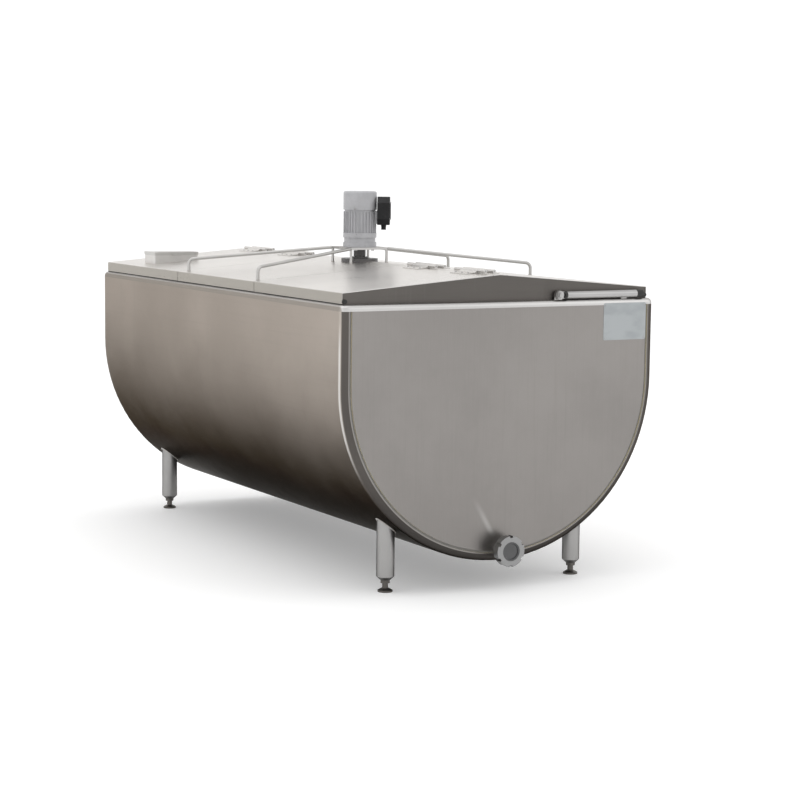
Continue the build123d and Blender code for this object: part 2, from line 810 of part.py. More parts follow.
# Bridge cover: the fixed middle of the roof
cover_points = [
    (-roof_half_width, skirt_bottom),
    (-roof_half_width, eave),
    (0, ridge),
    (roof_half_width, eave),
    (roof_half_width, skirt_bottom),
    (roof_half_width - roof_sheet, skirt_bottom),
    (roof_half_width - roof_sheet, roof_z(roof_half_width - roof_sheet) - roof_sheet),
    (0, ridge - roof_sheet),
    (roof_sheet - roof_half_width, roof_z(roof_half_width - roof_sheet) - roof_sheet),
    (roof_sheet - roof_half_width, skirt_bottom),
]
with BuildPart() as bridge_cover:
    add(profile_block(cover_points, y_bridge_front + leaf_seam / 2, y_bridge_rear - leaf_seam / 2))
    folds = bridge_cover.edges().filter_by(Axis.Y)
    fillet(folds.filter_by(lambda edge: abs(edge.center().Z - eave) < 0.1), radius=eave_round)
    with BuildSketch(Plane.XY.offset(skirt_bottom)):
        with Locations((0, y_agitator)):
            Circle(seal_radius)
    extrude(amount=ridge, mode=Mode.SUBTRACT)
save(bridge_cover.part, "bridge_cover")


def at_agitator(z):
    """Level sketch plane centred on the agitator's axis."""
    return Plane(origin=(0, y_agitator, z))


# Base flange on the ridge, with the shaft seal in its hub
hub_top = ridge + flange_thickness + hub_height
with BuildPart() as base_flange:
    with BuildSketch(at_agitator(eave)):
        Circle(flange_radius)
    extrude(amount=ridge + flange_thickness - eave)
    fillet(base_flange.faces().sort_by(Axis.Z)[-1].edges(), radius=2)
    with BuildSketch(at_agitator(ridge)):
        Circle(hub_radius)
    extrude(amount=flange_thickness + hub_height)
    add(roof_block(), mode=Mode.SUBTRACT)
    with BuildSketch(at_agitator(eave)):
        Circle(shaft_radius + 1)
    extrude(amount=ridge, mode=Mode.SUBTRACT)
    with BuildSketch(at_agitator(hub_top - hub_height)):
        Circle(seal_radius)
    extrude(amount=hub_height, mode=Mode.SUBTRACT)
save(base_flange.part, "base_flange")

with BuildPart() as shaft_seal:
    with BuildSketch(at_agitator(hub_top - hub_height)):
        Circle(seal_radius)
        Circle(shaft_radius + fit, mode=Mode.SUBTRACT)
    extrude(amount=hub_height - 1)
save(shaft_seal.part, "shaft_seal")

# Motor stand: square plate on four round legs, cut to the roof's slope
leg_pitch = stand_size - 2 * (stand_leg_radius + 1)
with BuildPart() as motor_stand:
    with BuildSketch(at_agitator(stand_top - stand_plate)):
        RectangleRounded(stand_size, stand_size, 4)
        Circle(stand_bore, mode=Mode.SUBTRACT)
    extrude(amount=stand_plate)
    with BuildSketch(at_agitator(eave)):
        with GridLocations(leg_pitch, leg_pitch, 2, 2):
            Circle(stand_leg_radius)
    extrude(amount=stand_top - stand_plate - eave)
    add(roof_block(), mode=Mode.SUBTRACT)
    with BuildSketch(at_agitator(stand_top - stand_plate)):
        with PolarLocations(bolt_circle, 4, start_angle=45):
            Circle(bolt_radius + fit)
    extrude(amount=stand_plate, mode=Mode.SUBTRACT)
save(motor_stand.part, "motor_stand")

# Stays: four bent rods from the corners of the motor stand to the edges of the bridge
stay_ends = {"front": -1, "rear": 1}
for end, along in stay_ends.items():
    for name, side in sides.items():
        foot = Vector(side * stay_foot_x, y_agitator + along * stay_foot_y, roof_z(stay_foot_x) - 5)
        bend = foot + Vector(0, 0, stay_rise + 5)
        corner = stand_size / 2 - 3
        head = Vector(side * corner, y_agitator + along * corner, stand_top - stand_plate / 2)
        with BuildPart() as stay:
            with BuildLine():
                FilletPolyline(foot, bend, head, radius=stay_bend)
            with BuildSketch(Plane(origin=foot, z_dir=(0, 0, 1))):
                Circle(stay_radius)
            sweep()
            add(roof_block(), mode=Mode.SUBTRACT)
            add(motor_stand.part, mode=Mode.SUBTRACT)
        save(stay.part, f"stay_{end}_{name}")

# Gear housing, closed, with the agitator shaft entering from below
with BuildPart() as gear_housing:
    with BuildSketch(at_agitator(stand_top)):
        Circle(gear_radius)
    extrude(amount=gear_height)
    with BuildSketch(at_agitator(stand_top + gear_height / 3)):
        Circle(gear_radius)
        Circle(gear_radius - gear_neck, mode=Mode.SUBTRACT)
    extrude(amount=gear_height / 3, mode=Mode.SUBTRACT)
    with BuildSketch(at_agitator(stand_top)):
        Circle(shaft_radius + fit)
    extrude(amount=gear_height / 2, mode=Mode.SUBTRACT)
    with BuildSketch(at_agitator(stand_top)):
        with PolarLocations(bolt_circle, 4, start_angle=45):
            Circle(bolt_radius + fit)
    extrude(amount=gear_height / 3, mode=Mode.SUBTRACT)
save(gear_housing.part, "gear_housing")

with BuildPart() as stand_bolts:
    with BuildSketch(at_agitator(stand_top - stand_plate - bolt_head_height)):
        with PolarLocations(bolt_circle, 4, start_angle=45):
            RegularPolygon(bolt_head_radius, 6)
    extrude(amount=bolt_head_height)
    with BuildSketch(at_agitator(stand_top - stand_plate)):
        with PolarLocations(bolt_circle, 4, start_angle=45):
            Circle(bolt_radius)
    extrude(amount=stand_plate + gear_height / 3 - 1)
save(stand_bolts.part, "stand_bolts")

# Motor housing with upright cooling fins
box_x_dir = Vector(cos(radians(box_turn)), sin(radians(box_turn)), 0)
box_face = motor_radius + fin_height + box_stand_off
with BuildPart() as motor_housing:
    with BuildSketch(at_agitator(gear_top)):
        Circle(motor_radius)
    extrude(amount=motor_height)
    with BuildSketch(at_agitator(gear_top)):
        with PolarLocations(motor_radius + fin_height / 2 - 1, fin_count):
            Rectangle(fin_height + 2, fin_width)
    extrude(amount=motor_height - cowl_lap - 6)
    pad_z = motor_top - cowl_lap - box_pad_height / 2 - 3
    with BuildSketch(Plane(origin=(0, y_agitator, pad_z), x_dir=(0, 0, 1), z_dir=box_x_dir)):
        Rectangle(box_pad_height, box_width - 2 * box_chamfer)
    extrude(amount=box_face)
    with BuildSketch(at_agitator(motor_top - motor_height / 3)):
        Circle(fan_shaft_radius + fit)
    extrude(amount=motor_height / 3, mode=Mode.SUBTRACT)
save(motor_housing.part, "motor_housing")

# Fan cowl with a grille of ring slots in its top
with BuildPart() as fan_cowl:
    with BuildSketch(at_agitator(motor_top - cowl_lap)):
        Circle(gear_radius)
    extrude(amount=cowl_height + cowl_lap)
    fillet(fan_cowl.faces().sort_by(Axis.Z)[-1].edges(), radius=8)
    with BuildSketch(at_agitator(motor_top - cowl_lap)):
        Circle(gear_radius - cowl_wall)
    extrude(amount=cowl_height + cowl_lap - cowl_wall - 6, mode=Mode.SUBTRACT)
    with BuildSketch(at_agitator(cowl_top - 10)):
        Circle(gear_radius - 12)
    extrude(amount=10 - cowl_wall, mode=Mode.SUBTRACT)
    with BuildSketch(at_agitator(motor_top - cowl_lap)):
        Circle(gear_radius - cowl_wall)
        Circle(motor_radius + fit, mode=Mode.SUBTRACT)
    extrude(amount=cowl_lap - 2)
    with BuildSketch(at_agitator(cowl_top - 12)):
        with PolarLocations(30, 12):
            SlotOverall(26, 6)
    extrude(amount=12, mode=Mode.SUBTRACT)
save(fan_cowl.part, "fan_cowl")

# Motor fan on the rotor's end
with BuildPart() as motor_fan:
    with BuildSketch(at_agitator(motor_top - motor_height / 3 + 1)):
        Circle(fan_shaft_radius)
    extrude(amount=motor_height / 3 + 36)
    with BuildSketch(at_agitator(motor_top + 8)):
        Circle(fan_radius)
    extrude(amount=3)
    with BuildSketch(at_agitator(motor_top + 8)):
        Circle(fan_shaft_radius + 9)
        with PolarLocations(fan_radius / 2 + 6, fan_blades):
            Rectangle(fan_radius - 14, 2.5)
    extrude(amount=28)
save(motor_fan.part, "motor_fan")


# Terminal box beside the motor, its lid and its cable gland
def box_plane(radial):
    """Upright plane facing away from the motor at a distance from its axis."""
    origin = Vector(0, y_agitator, cowl_top - box_base) + box_x_dir * radial
    return Plane(origin=origin, x_dir=box_x_dir.cross(Vector(0, 0, -1)), z_dir=box_x_dir)


box_outline = [
    (-box_width / 2 + box_chamfer, -box_height / 2),
    (box_width / 2 - box_chamfer, -box_height / 2),
    (box_width / 2, -box_height / 2 + box_chamfer),
    (box_width / 2, box_height / 2 - box_chamfer),
    (box_width / 2 - box_chamfer, box_height / 2),
    (-box_width / 2 + box_chamfer, box_height / 2),
    (-box_width / 2, box_height / 2 - box_chamfer),
    (-box_width / 2, -box_height / 2 + box_chamfer),
]
with BuildPart() as terminal_box:
    with BuildSketch(box_plane(box_face)):
        Polygon(*box_outline, align=None)
    extrude(amount=box_depth - box_lid)
    with BuildSketch(box_plane(box_face + 3)):
        Polygon(*box_outline, align=None)
        offset(amount=-3)
    extrude(amount=box_depth, mode=Mode.SUBTRACT)
save(terminal_box.part, "terminal_box")

with BuildPart() as terminal_box_lid:
    with BuildSketch(box_plane(box_face + box_depth - box_lid)):
        Polygon(*box_outline, align=None)
    extrude(amount=box_lid)
    outer_face = terminal_box_lid.faces().sort_by(Axis(origin=(0, 0, 0), direction=box_x_dir))[-1]
    chamfer(outer_face.edges(), length=2)
save(terminal_box_lid.part, "terminal_box_lid")

box_bottom = cowl_top - box_base - box_height / 2
gland_origin = Vector(0, y_agitator, box_bottom) + box_x_dir * (box_face + box_depth / 2)
with BuildPart() as cable_gland:
    with BuildSketch(Plane(origin=gland_origin, z_dir=(0, 0, -1))):
        RegularPolygon(gland_radius + 2, 6)
    extrude(amount=gland_length / 3)
    with BuildSketch(Plane(origin=gland_origin, z_dir=(0, 0, -1))):
        Circle(gland_radius)
    extrude(amount=gland_length)
save(cable_gland.part, "cable_gland")

# Shaft coupling, agitator shaft and paddle
with BuildPart() as shaft_coupling:
    with BuildSketch(at_agitator(hub_top + 1)):
        Circle(coupling_radius)
        Circle(shaft_radius + fit / 2, mode=Mode.SUBTRACT)
    extrude(amount=stand_top - hub_top - 1.5)
    chamfer(shaft_coupling.edges().filter_by(GeomType.CIRCLE).sort_by(SortBy.RADIUS)[-2:], length=1.5)
save(shaft_coupling.part, "shaft_coupling")

vessel_floor = hull_centre - vessel_inner
with BuildPart() as agitator_shaft:
    with BuildSketch(at_agitator(vessel_floor + shaft_foot - 30)):
        Circle(shaft_radius)
    extrude(amount=stand_top + gear_height / 2 - 2 - vessel_floor - shaft_foot + 30)
    chamfer(agitator_shaft.edges(), length=1.5)
save(agitator_shaft.part, "agitator_shaft")

paddle_middle = vessel_floor + shaft_foot + paddle_height / 2
with BuildPart() as agitator_paddle:
    with BuildSketch(at_agitator(paddle_middle - 35)):
        Circle(paddle_hub_radius)
    extrude(amount=70)
    for turn in (0, 180):
        tilt = radians(paddle_pitch)
        out = Vector(cos(radians(turn)), sin(radians(turn)), 0)
        across = Vector(-sin(radians(turn)), cos(radians(turn)), 0)
        normal = across * cos(tilt) + Vector(0, 0, 1) * sin(tilt)
        blade_plane = Plane(origin=(0, y_agitator, paddle_middle), x_dir=out, z_dir=normal)
        with BuildSketch(blade_plane):
            with Locations((paddle_reach / 2 + shaft_radius / 2, 0)):
                RectangleRounded(paddle_reach - shaft_radius, paddle_height, 25)
        extrude(amount=paddle_thickness / 2, both=True)
    with BuildSketch(at_agitator(paddle_middle - paddle_height)):
        Circle(shaft_radius + fit / 2)
    extrude(amount=2 * paddle_height, mode=Mode.SUBTRACT)
save(agitator_paddle.part, "agitator_paddle")


# Outlet: stub pipe with a male end, gasket, blank cap and slotted union nut
def at_outlet(reach):
    """Sketch plane facing forwards at a distance in front of the front plate."""
    return Plane(origin=(0, y_front - reach, outlet_height), x_dir=(1, 0, 0), z_dir=(0, -1, 0))


with BuildPart() as outlet_pipe:
    with BuildSketch(at_outlet(-end_gap)):
        Circle(pipe_radius)
    extrude(amount=end_gap + stub_length)
    with BuildSketch(at_outlet(stub_length)):
        Circle(male_radius)
    extrude(amount=male_length)
    chamfer(outlet_pipe.faces().filter_by(Axis.Y).sort_by(Axis.Y)[0].outer_wire().edges(), length=1.5)
    with BuildSketch(at_outlet(-end_gap)):
        Circle(pipe_radius - pipe_wall)
    extrude(amount=end_gap + stub_length + male_length, mode=Mode.SUBTRACT)
save(outlet_pipe.part, "outlet_pipe")

gasket_at = stub_length + male_length
with BuildPart() as outlet_gasket:
    with BuildSketch(at_outlet(gasket_at)):
        Circle(male_radius - 3)
        Circle(pipe_radius - pipe_wall, mode=Mode.SUBTRACT)
    extrude(amount=gasket_thickness)
save(outlet_gasket.part, "outlet_gasket")

cap_at = gasket_at + gasket_thickness
nut_back = stub_length + 2.0
nut_front = nut_back + nut_length
with BuildPart() as outlet_blank_cap:
    with BuildSketch(at_outlet(cap_at)):
        Circle(male_radius - 0.5)
    extrude(amount=cap_collar)
    with BuildSketch(at_outlet(cap_at + cap_collar)):
        Circle(cap_boss_radius)
    extrude(amount=nut_front - cap_at - cap_collar - 1)
    with BuildSketch(at_outlet(nut_front - 1)):
        Circle(cap_boss_radius - 5)
    extrude(amount=-cap_dish, taper=20, mode=Mode.SUBTRACT)
save(outlet_blank_cap.part, "outlet_blank_cap")

with BuildPart() as outlet_union_nut:
    with BuildSketch(at_outlet(nut_back)):
        Circle(nut_radius)
    extrude(amount=nut_length)
    nut_rims = outlet_union_nut.edges().filter_by(GeomType.CIRCLE)
    fillet(nut_rims, radius=3)
    with BuildSketch(at_outlet(nut_back)):
        with PolarLocations(nut_radius, nut_slots, start_angle=90):
            Rectangle(2 * slot_depth, slot_width)
    extrude(amount=nut_length, mode=Mode.SUBTRACT)
    with BuildSketch(at_outlet(nut_back)):
        Circle(male_radius + running)
    extrude(amount=cap_at + cap_collar + running - nut_back, mode=Mode.SUBTRACT)
    with BuildSketch(at_outlet(nut_back)):
        Circle(cap_boss_radius + 0.5)
    extrude(amount=nut_length, mode=Mode.SUBTRACT)
save(outlet_union_nut.part, "outlet_union_nut")

# Refrigerant line stubs: straight tubes out of the belly, square to it, ends closed for transport
line_names = {suction_angle: "suction_stub", liquid_angle: "liquid_stub"}
line_end = line_reach + skin + insulation_thickness
line_collar_end = line_collar + skin + insulation_thickness
for degrees, name in line_names.items():
    radius = line_radii[degrees]
    with BuildPart() as stub:
        collar_start = insulation_thickness + skin - evaporator_thickness
        add(line_rod(degrees, radius + line_collar_reach, collar_start - line_collar, line_collar_end))
        add(rod_along_y(hull_radius, 0, hull_centre, y_front, y_rear), mode=Mode.SUBTRACT)
        add(line_rod(degrees, radius))
        hollow_start = channel_radius + 2 * line_wall
        add(line_rod(degrees, radius - line_wall, hollow_start, line_end - 2 * line_wall), mode=Mode.SUBTRACT)
        add(evaporator_plate.part, mode=Mode.SUBTRACT)
    save(stub.part, name)

# Legs: tubes coped to the belly, with a cone end that takes the foot's spindle
leg_ends = {"front": y_front + leg_from_end, "rear": y_rear - leg_from_end}
hull_solid = rod_along_y(hull_radius, 0, hull_centre, y_front, y_rear)
for end, y_leg in leg_ends.items():
    for name, side in sides.items():
        foot_origin = (side * leg_x, y_leg)
        with BuildPart() as leg:
            with BuildSketch(Plane.XY.offset(leg_bottom)):
                with Locations(foot_origin):
                    Circle(leg_radius)
            extrude(amount=hull_radius / 2)
            with BuildSketch(Plane.XY.offset(leg_bottom)):
                with Locations(foot_origin):
                    Circle(leg_radius)
            with BuildSketch(Plane.XY.offset(leg_bottom - cone_height)):
                with Locations(foot_origin):
                    Circle(cone_radius)
            loft()
            with BuildSketch(Plane.XY.offset(leg_bottom + 3)):
                with Locations(foot_origin):
                    Circle(leg_radius - leg_wall)
            extrude(amount=hull_radius, mode=Mode.SUBTRACT)
            with BuildSketch(Plane.XY):
                with Locations(foot_origin):
                    Circle(spindle_radius + fit)
            extrude(amount=2 * leg_bottom, mode=Mode.SUBTRACT)
            add(hull_solid, mode=Mode.SUBTRACT)
        save(leg.part, f"leg_{end}_{name}")

        with BuildPart() as screw_foot:
            with BuildSketch(Plane.XY):
                with Locations(foot_origin):
                    Circle(foot_radius)
            extrude(amount=foot_height / 2)
            with BuildSketch(Plane.XY.offset(foot_height / 2)):
                with Locations(foot_origin):
                    Circle(foot_radius)
            with BuildSketch(Plane.XY.offset(foot_height)):
                with Locations(foot_origin):
                    Circle(spindle_radius + 4)
            loft()
            with BuildSketch(Plane.XY.offset(foot_height / 2)):
                with Locations(foot_origin):
                    Circle(spindle_radius)
            extrude(amount=spindle_top - foot_height / 2)
            with BuildSketch(Plane.XY.offset(leg_bottom - cone_height - lock_nut_height)):
                with Locations(foot_origin):
                    RegularPolygon(lock_nut_flat / 2, 6, major_radius=False)
            extrude(amount=lock_nut_height)
        save(screw_foot.part, f"foot_{end}_{name}")

# Lid prop: a tube with a pivot eye, resting in a cradle on the front rim
prop_z = rim_top + prop_lift + prop_radius
y_prop = y_front + prop_from_front
tube_start = prop_x + eye_radius + 4
tube_end = prop_x + prop_length - prop_tip / 2
with BuildPart() as prop_stay:
    with BuildSketch(Plane(origin=(tube_start, y_prop, prop_z), z_dir=(1, 0, 0))):
        Circle(prop_radius)
    extrude(amount=tube_end - tube_start)
    with BuildSketch(Plane(origin=(tube_start, y_prop, prop_z), z_dir=(1, 0, 0))):
        Circle(prop_radius - 1.5)
    extrude(amount=tube_end - tube_start - prop_tip, mode=Mode.SUBTRACT)
    with BuildSketch(upright(y_prop - eye_thickness / 2)):
        with Locations((prop_x, prop_z)):
            Circle(eye_radius)
        with Locations(((prop_x + tube_start) / 2 + 4, prop_z)):
            Rectangle(tube_start - prop_x + 8, 2 * eye_radius - 6)
        with Locations((prop_x, prop_z)):
            Circle(prop_bolt_radius + fit, mode=Mode.SUBTRACT)
    extrude(amount=-eye_thickness)
save(prop_stay.part, "prop_stay")

with BuildPart() as prop_tip_cap:
    with BuildSketch(Plane(origin=(tube_end, y_prop, prop_z), z_dir=(1, 0, 0))):
        Circle(prop_radius)
    extrude(amount=prop_tip / 2)
    fillet(prop_tip_cap.faces().sort_by(Axis.X)[-1].edges(), radius=prop_tip_round)
save(prop_tip_cap.part, "prop_tip")

y_lug = y_prop + eye_thickness / 2 + running
with BuildPart() as prop_bracket:
    with BuildSketch(upright(y_lug)):
        with Locations((prop_x, prop_z)):
            Circle(eye_radius)
        with Locations((prop_x, (prop_z + rim_top) / 2)):
            Rectangle(2 * eye_radius, prop_z - rim_top)
    extrude(amount=-lug_thickness)
    y_knob = y_prop - eye_thickness / 2 - running
    with BuildSketch(upright(y_lug + lug_thickness)):
        with Locations((prop_x, prop_z)):
            Circle(prop_bolt_radius)
    extrude(amount=y_lug + lug_thickness - y_knob)
    with BuildSketch(upright(y_knob)):
        with Locations((prop_x, prop_z)):
            Circle(knob_radius)
    extrude(amount=6)
    cradle_x = prop_x + cradle_from_pivot
    with BuildSketch(Plane(origin=(cradle_x, 0, 0), x_dir=(0, 1, 0), z_dir=(1, 0, 0))):
        with Locations((y_prop + cradle_depth / 2, rim_top + prop_radius / 2)):
            Rectangle(cradle_depth, prop_radius)
        with Locations((y_prop, prop_z)):
            Circle(prop_radius + running, mode=Mode.SUBTRACT)
    extrude(amount=cradle_width)
save(prop_bracket.part, "prop_bracket")
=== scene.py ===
import bmesh
import bpy
import json
from math import cos, pi, radians, sin, sqrt
from mathutils import Matrix, Vector


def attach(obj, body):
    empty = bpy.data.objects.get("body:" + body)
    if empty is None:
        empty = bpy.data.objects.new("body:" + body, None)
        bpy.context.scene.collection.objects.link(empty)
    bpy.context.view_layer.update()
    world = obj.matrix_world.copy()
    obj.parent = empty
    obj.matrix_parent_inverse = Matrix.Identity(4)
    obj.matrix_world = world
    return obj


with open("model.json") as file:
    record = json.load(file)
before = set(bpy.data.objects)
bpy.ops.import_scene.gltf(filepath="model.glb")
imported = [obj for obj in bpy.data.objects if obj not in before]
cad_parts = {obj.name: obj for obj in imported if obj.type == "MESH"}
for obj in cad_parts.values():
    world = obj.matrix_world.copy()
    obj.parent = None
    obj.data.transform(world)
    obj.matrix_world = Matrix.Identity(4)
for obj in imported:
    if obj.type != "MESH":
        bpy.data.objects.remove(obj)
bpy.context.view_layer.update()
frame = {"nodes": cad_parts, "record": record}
nodes = frame["nodes"]


# Sizes and places on the tank, in metres, the same as in the part's source
HULL_RADIUS = 0.6
HULL_CENTRE = 0.696
FRONT = -1.0275
REAR = 1.0975
END_ROLL = 0.025
RIM_TOP = 0.962
RIDGE = 1.05
RIDGE_RISE = 0.05
ROOF_HALF_WIDTH = 0.586
SLOPE = RIDGE_RISE / ROOF_HALF_WIDTH
ROOF_FRONT = FRONT + 0.03
ROOF_REAR = REAR - 0.02
AGITATOR_Y = 0.0095
BRIDGE_HALF_WIDTH = 0.34
LEAF_SEAM = 0.003
STRAP_THICKNESS = 0.003
LEG_X = HULL_RADIUS - 0.235
LEG_FROM_END = 0.13
STAY_FOOT_X = ROOF_HALF_WIDTH - 0.03
STAY_FOOT_Y = BRIDGE_HALF_WIDTH - 0.034
STAND_LEG_PLACE = 0.074
COWL_RADIUS = 0.062
BOX_TURN = radians(-30)
BOX_Z = 1.234
PROP_PIVOT_X = 0.222
PROP_FROM_FRONT = 0.015
PROP_RADIUS = 0.013
PROP_LIFT = 0.003
PROP_Z = RIM_TOP + PROP_LIFT + PROP_RADIUS

# Weld beads: the ring's radius about the bar and the bead's own radius, then the ripples on them
LEG_BEAD = (0.0312, 0.0028)
STAY_BEAD = (0.0066, 0.0014)
STAND_BEAD = (0.0056, 0.0013)
LEG_BEAD_STEPS = 56
ROOF_BEAD_STEPS = 28
BEAD_SIDES = 8
BEAD_CREASE = 80
RIPPLE_HEIGHT = 0.0003
RIPPLE_RADIANS_PER_METRE = 2600

# Screws and rivets: the head's radius and height
STRAP_SCREW = (0.0042, 0.0024)
BOX_SCREW = (0.0035, 0.002)
COWL_SCREW = (0.0038, 0.0022)
RIVET = (0.0024, 0.0014)

# Screws of the hinge straps, which lie at two shares of a leaf's length from its middle
STRAP_SHARES = (-0.25, 0.25)
STRAP_SCREW_X = 0.05
STRAP_SCREW_SPACING = 0.042

# Screws and raised panel of the terminal box lid, with their distance from the motor's axis
BOX_SCREW_REACH = 0.112
BOX_SCREW_SPREAD = (0.036, 0.03)
PANEL_REACH = 0.1128
PANEL_SIZE = (0.05, 0.062, 0.0024)
PANEL_CORNER = 0.008
PANEL_EDGE = 0.0008

# Screws of the fan cowl
COWL_SCREW_Z = 1.2425

# Nut of the lid prop, across its flats and in height, how far behind the front it sits, and its washer
PIVOT_NUT = (0.016, 0.006)
PIVOT_NUT_SEAT = 0.0047
WASHER_BOTTOM = 0.0004
WASHER_TOP = 0.0014

# Rubber collar on the lid prop
COLLAR_FROM_PIVOT = 0.019
COLLAR_INNER = PROP_RADIUS + 0.0002
COLLAR_OUTER = PROP_RADIUS + 0.0012
COLLAR_LENGTH = 0.0095

# Blank plate on the front
BLANK_SIZE = (0.172, 0.126, 0.0008)
BLANK_CORNER = 0.006
BLANK_X = 0.479
BLANK_Z = 0.8855
RIVET_INSET = 0.007

# Studio: the floor's line of (Y, Z) points, swept along X
FLOOR_LINE = ((-30, 0), (14, 0), (22, 4), (24, 30))
FLOOR_LEFT = -30
FLOOR_WIDTH = 70
FLOOR_BEND = 5

WHITE = (1.0, 1.0, 1.0, 1.0)

# Camera, with its focal length in pixels of the photograph
YAW = radians(28.635)
PITCH = radians(6.466)
ROLL = radians(0.677)
CAMERA_PLACE = (-3.6146, -6.9369, 1.4164)
FOCAL_PIXELS = 2104.9
PHOTO_WIDTH = 800
SENSOR_WIDTH = 36.0

# Vertices closer than this are one
MERGE_DISTANCE = 0.000002

# Tones of marks and wear, of painted highlight, shade and reflection, and of the end plates' steel
WATER_RUN = (0.36, 0.34, 0.31)
BELLY_SHADE = (0.036, 0.034, 0.032)
ROLL_HIGHLIGHT = (0.72, 0.71, 0.69)
ROLL_SHADE = (0.07, 0.064, 0.06)
REFLECTION_STREAK = (0.5, 0.49, 0.475)
PLATE_STEEL = (0.275, 0.26, 0.248)


def roof_z(x):
    """Height of the roof's surface at a distance from the ridge."""
    return RIDGE - SLOPE * abs(x)


def belly_z(x):
    """Height of the belly's underside at a distance from the middle."""
    return HULL_CENTRE - sqrt(HULL_RADIUS ** 2 - x ** 2)


class Value:
    """One shader value. An expression on values adds its own Math nodes."""

    def __init__(self, finish, socket):
        self.finish = finish
        self.socket = socket

    def math(self, operation, *operands):
        """One Math node on values or numbers."""
        return self.finish.node("ShaderNodeMath", {"operation": operation}, dict(enumerate(operands)))

    def __add__(self, other):
        return self.math("ADD", self, other)

    def __radd__(self, other):
        return self.math("ADD", other, self)

    def __sub__(self, other):
        return self.math("SUBTRACT", self, other)

    def __rsub__(self, other):
        return self.math("SUBTRACT", other, self)

    def __mul__(self, other):
        return self.math("MULTIPLY", self, other)

    def __rmul__(self, other):
        return self.math("MULTIPLY", other, self)

    def __pow__(self, other):
        return self.math("POWER", self, other)

    def __abs__(self):
        return self.math("ABSOLUTE", self)


class Finish:
    """A surface finish: one material, its Principled shader and the nodes that feed it."""

    def __init__(self, name, **fixed):
        self.material = bpy.data.materials.new(name)
        self.material.use_nodes = True
        self.tree = self.material.node_tree
        self.tree.nodes.clear()
        self.shader = self.tree.nodes.new("ShaderNodeBsdfPrincipled")
        output = self.tree.nodes.new("ShaderNodeOutputMaterial")
        self.tree.links.new(self.shader.outputs[0], output.inputs[0])
        for socket, value in fixed.items():
            self.set(socket.replace("_", " "), value)

    def feed(self, socket, value):
        """Gives a socket a link or a plain value."""
        if isinstance(value, Value):
            self.tree.links.new(value.socket, socket)
        else:
            socket.default_value = value

    def node(self, kind, settings=None, inputs=None, result=0):
        """Adds a node: its settings first, then the values or links of its sockets."""
        node = self.tree.nodes.new(kind)
        for name, value in (settings or {}).items():
            setattr(node, name, value)
        for name, value in (inputs or {}).items():
            self.feed(node.inputs[name], value)
        return Value(self, node.outputs[result])

    def set(self, name, value):
        """Gives one socket of the Principled shader a value or a link."""
        self.feed(self.shader.inputs[name], value)

    def place(self, stretch=(1.0, 1.0, 1.0), shift=(0.0, 0.0, 0.0)):
        """Object coordinates, stretched and shifted."""
        coordinates = self.node("ShaderNodeTexCoord", result="Object")
        inputs = {"Vector": coordinates, "Location": shift, "Scale": stretch}
        return self.node("ShaderNodeMapping", {}, inputs)

    def noise(self, scale, stretch=(1.0, 1.0, 1.0), detail=3.0, rough=0.5, shift=(0.0, 0.0, 0.0)):
        """Soft noise from 0 to 1."""
        inputs = {"Vector": self.place(stretch, shift), "Scale": scale, "Detail": detail, "Roughness": rough}
        return self.node("ShaderNodeTexNoise", {}, inputs, "Fac")

    def spots(self, scale, size):
        """Small round marks, 1 on a mark and 0 elsewhere."""
        inputs = {"Vector": self.place(), "Scale": scale}
        distance = self.node("ShaderNodeTexVoronoi", {}, inputs, "Distance")
        return self.span(distance, size, size * 0.5)

    def span(self, value, low, high):
        """0 at low, 1 at high, held outside."""
        inputs = {"Value": value, "From Min": low, "From Max": high, "To Min": 0.0, "To Max": 1.0}
        return self.node("ShaderNodeMapRange", {"clamp": True, "interpolation_type": "SMOOTHSTEP"}, inputs)

    def axis(self, name):
        """One object coordinate on its own."""
        coordinates = self.node("ShaderNodeTexCoord", result="Object")
        return self.node("ShaderNodeSeparateXYZ", {}, {0: coordinates}, name)

    def mix(self, factor, first, second):
        """A colour between two colours."""
        inputs = {0: factor}
        for index, colour in ((6, first), (7, second)):
            inputs[index] = colour if isinstance(colour, Value) else (*colour, 1.0)
        return self.node("ShaderNodeMix", {"data_type": "RGBA"}, inputs, 2)

    def stain(self, tone, pattern, between, amount, colour):
        """A tone taken towards a colour, from not at all to the amount between two values of a pattern."""
        return self.mix(self.span(pattern, *between) * amount, tone, colour)

    def clouded(self, pattern, between, colour, darker, lighter):
        """A colour that goes from a darker to a lighter tint of itself between two values of a pattern."""
        return self.mix(self.span(pattern, *between), tint(colour, darker), tint(colour, lighter))

    def bump(self, height, distance, strength=1.0, below=None):
        """A bump from a height, on top of another one where it is given."""
        inputs = {"Height": height, "Distance": distance, "Strength": strength}
        if below is not None:
            inputs["Normal"] = below
        return self.node("ShaderNodeBump", {}, inputs)


def tint(colour, amount):
    """A colour made lighter or darker."""
    return tuple(min(1.0, channel * amount) for channel in colour)


def swing(pattern, reach):
    """A pattern from 0 to 1 as a change of up to half the reach both ways."""
    return (pattern - 0.5) * reach


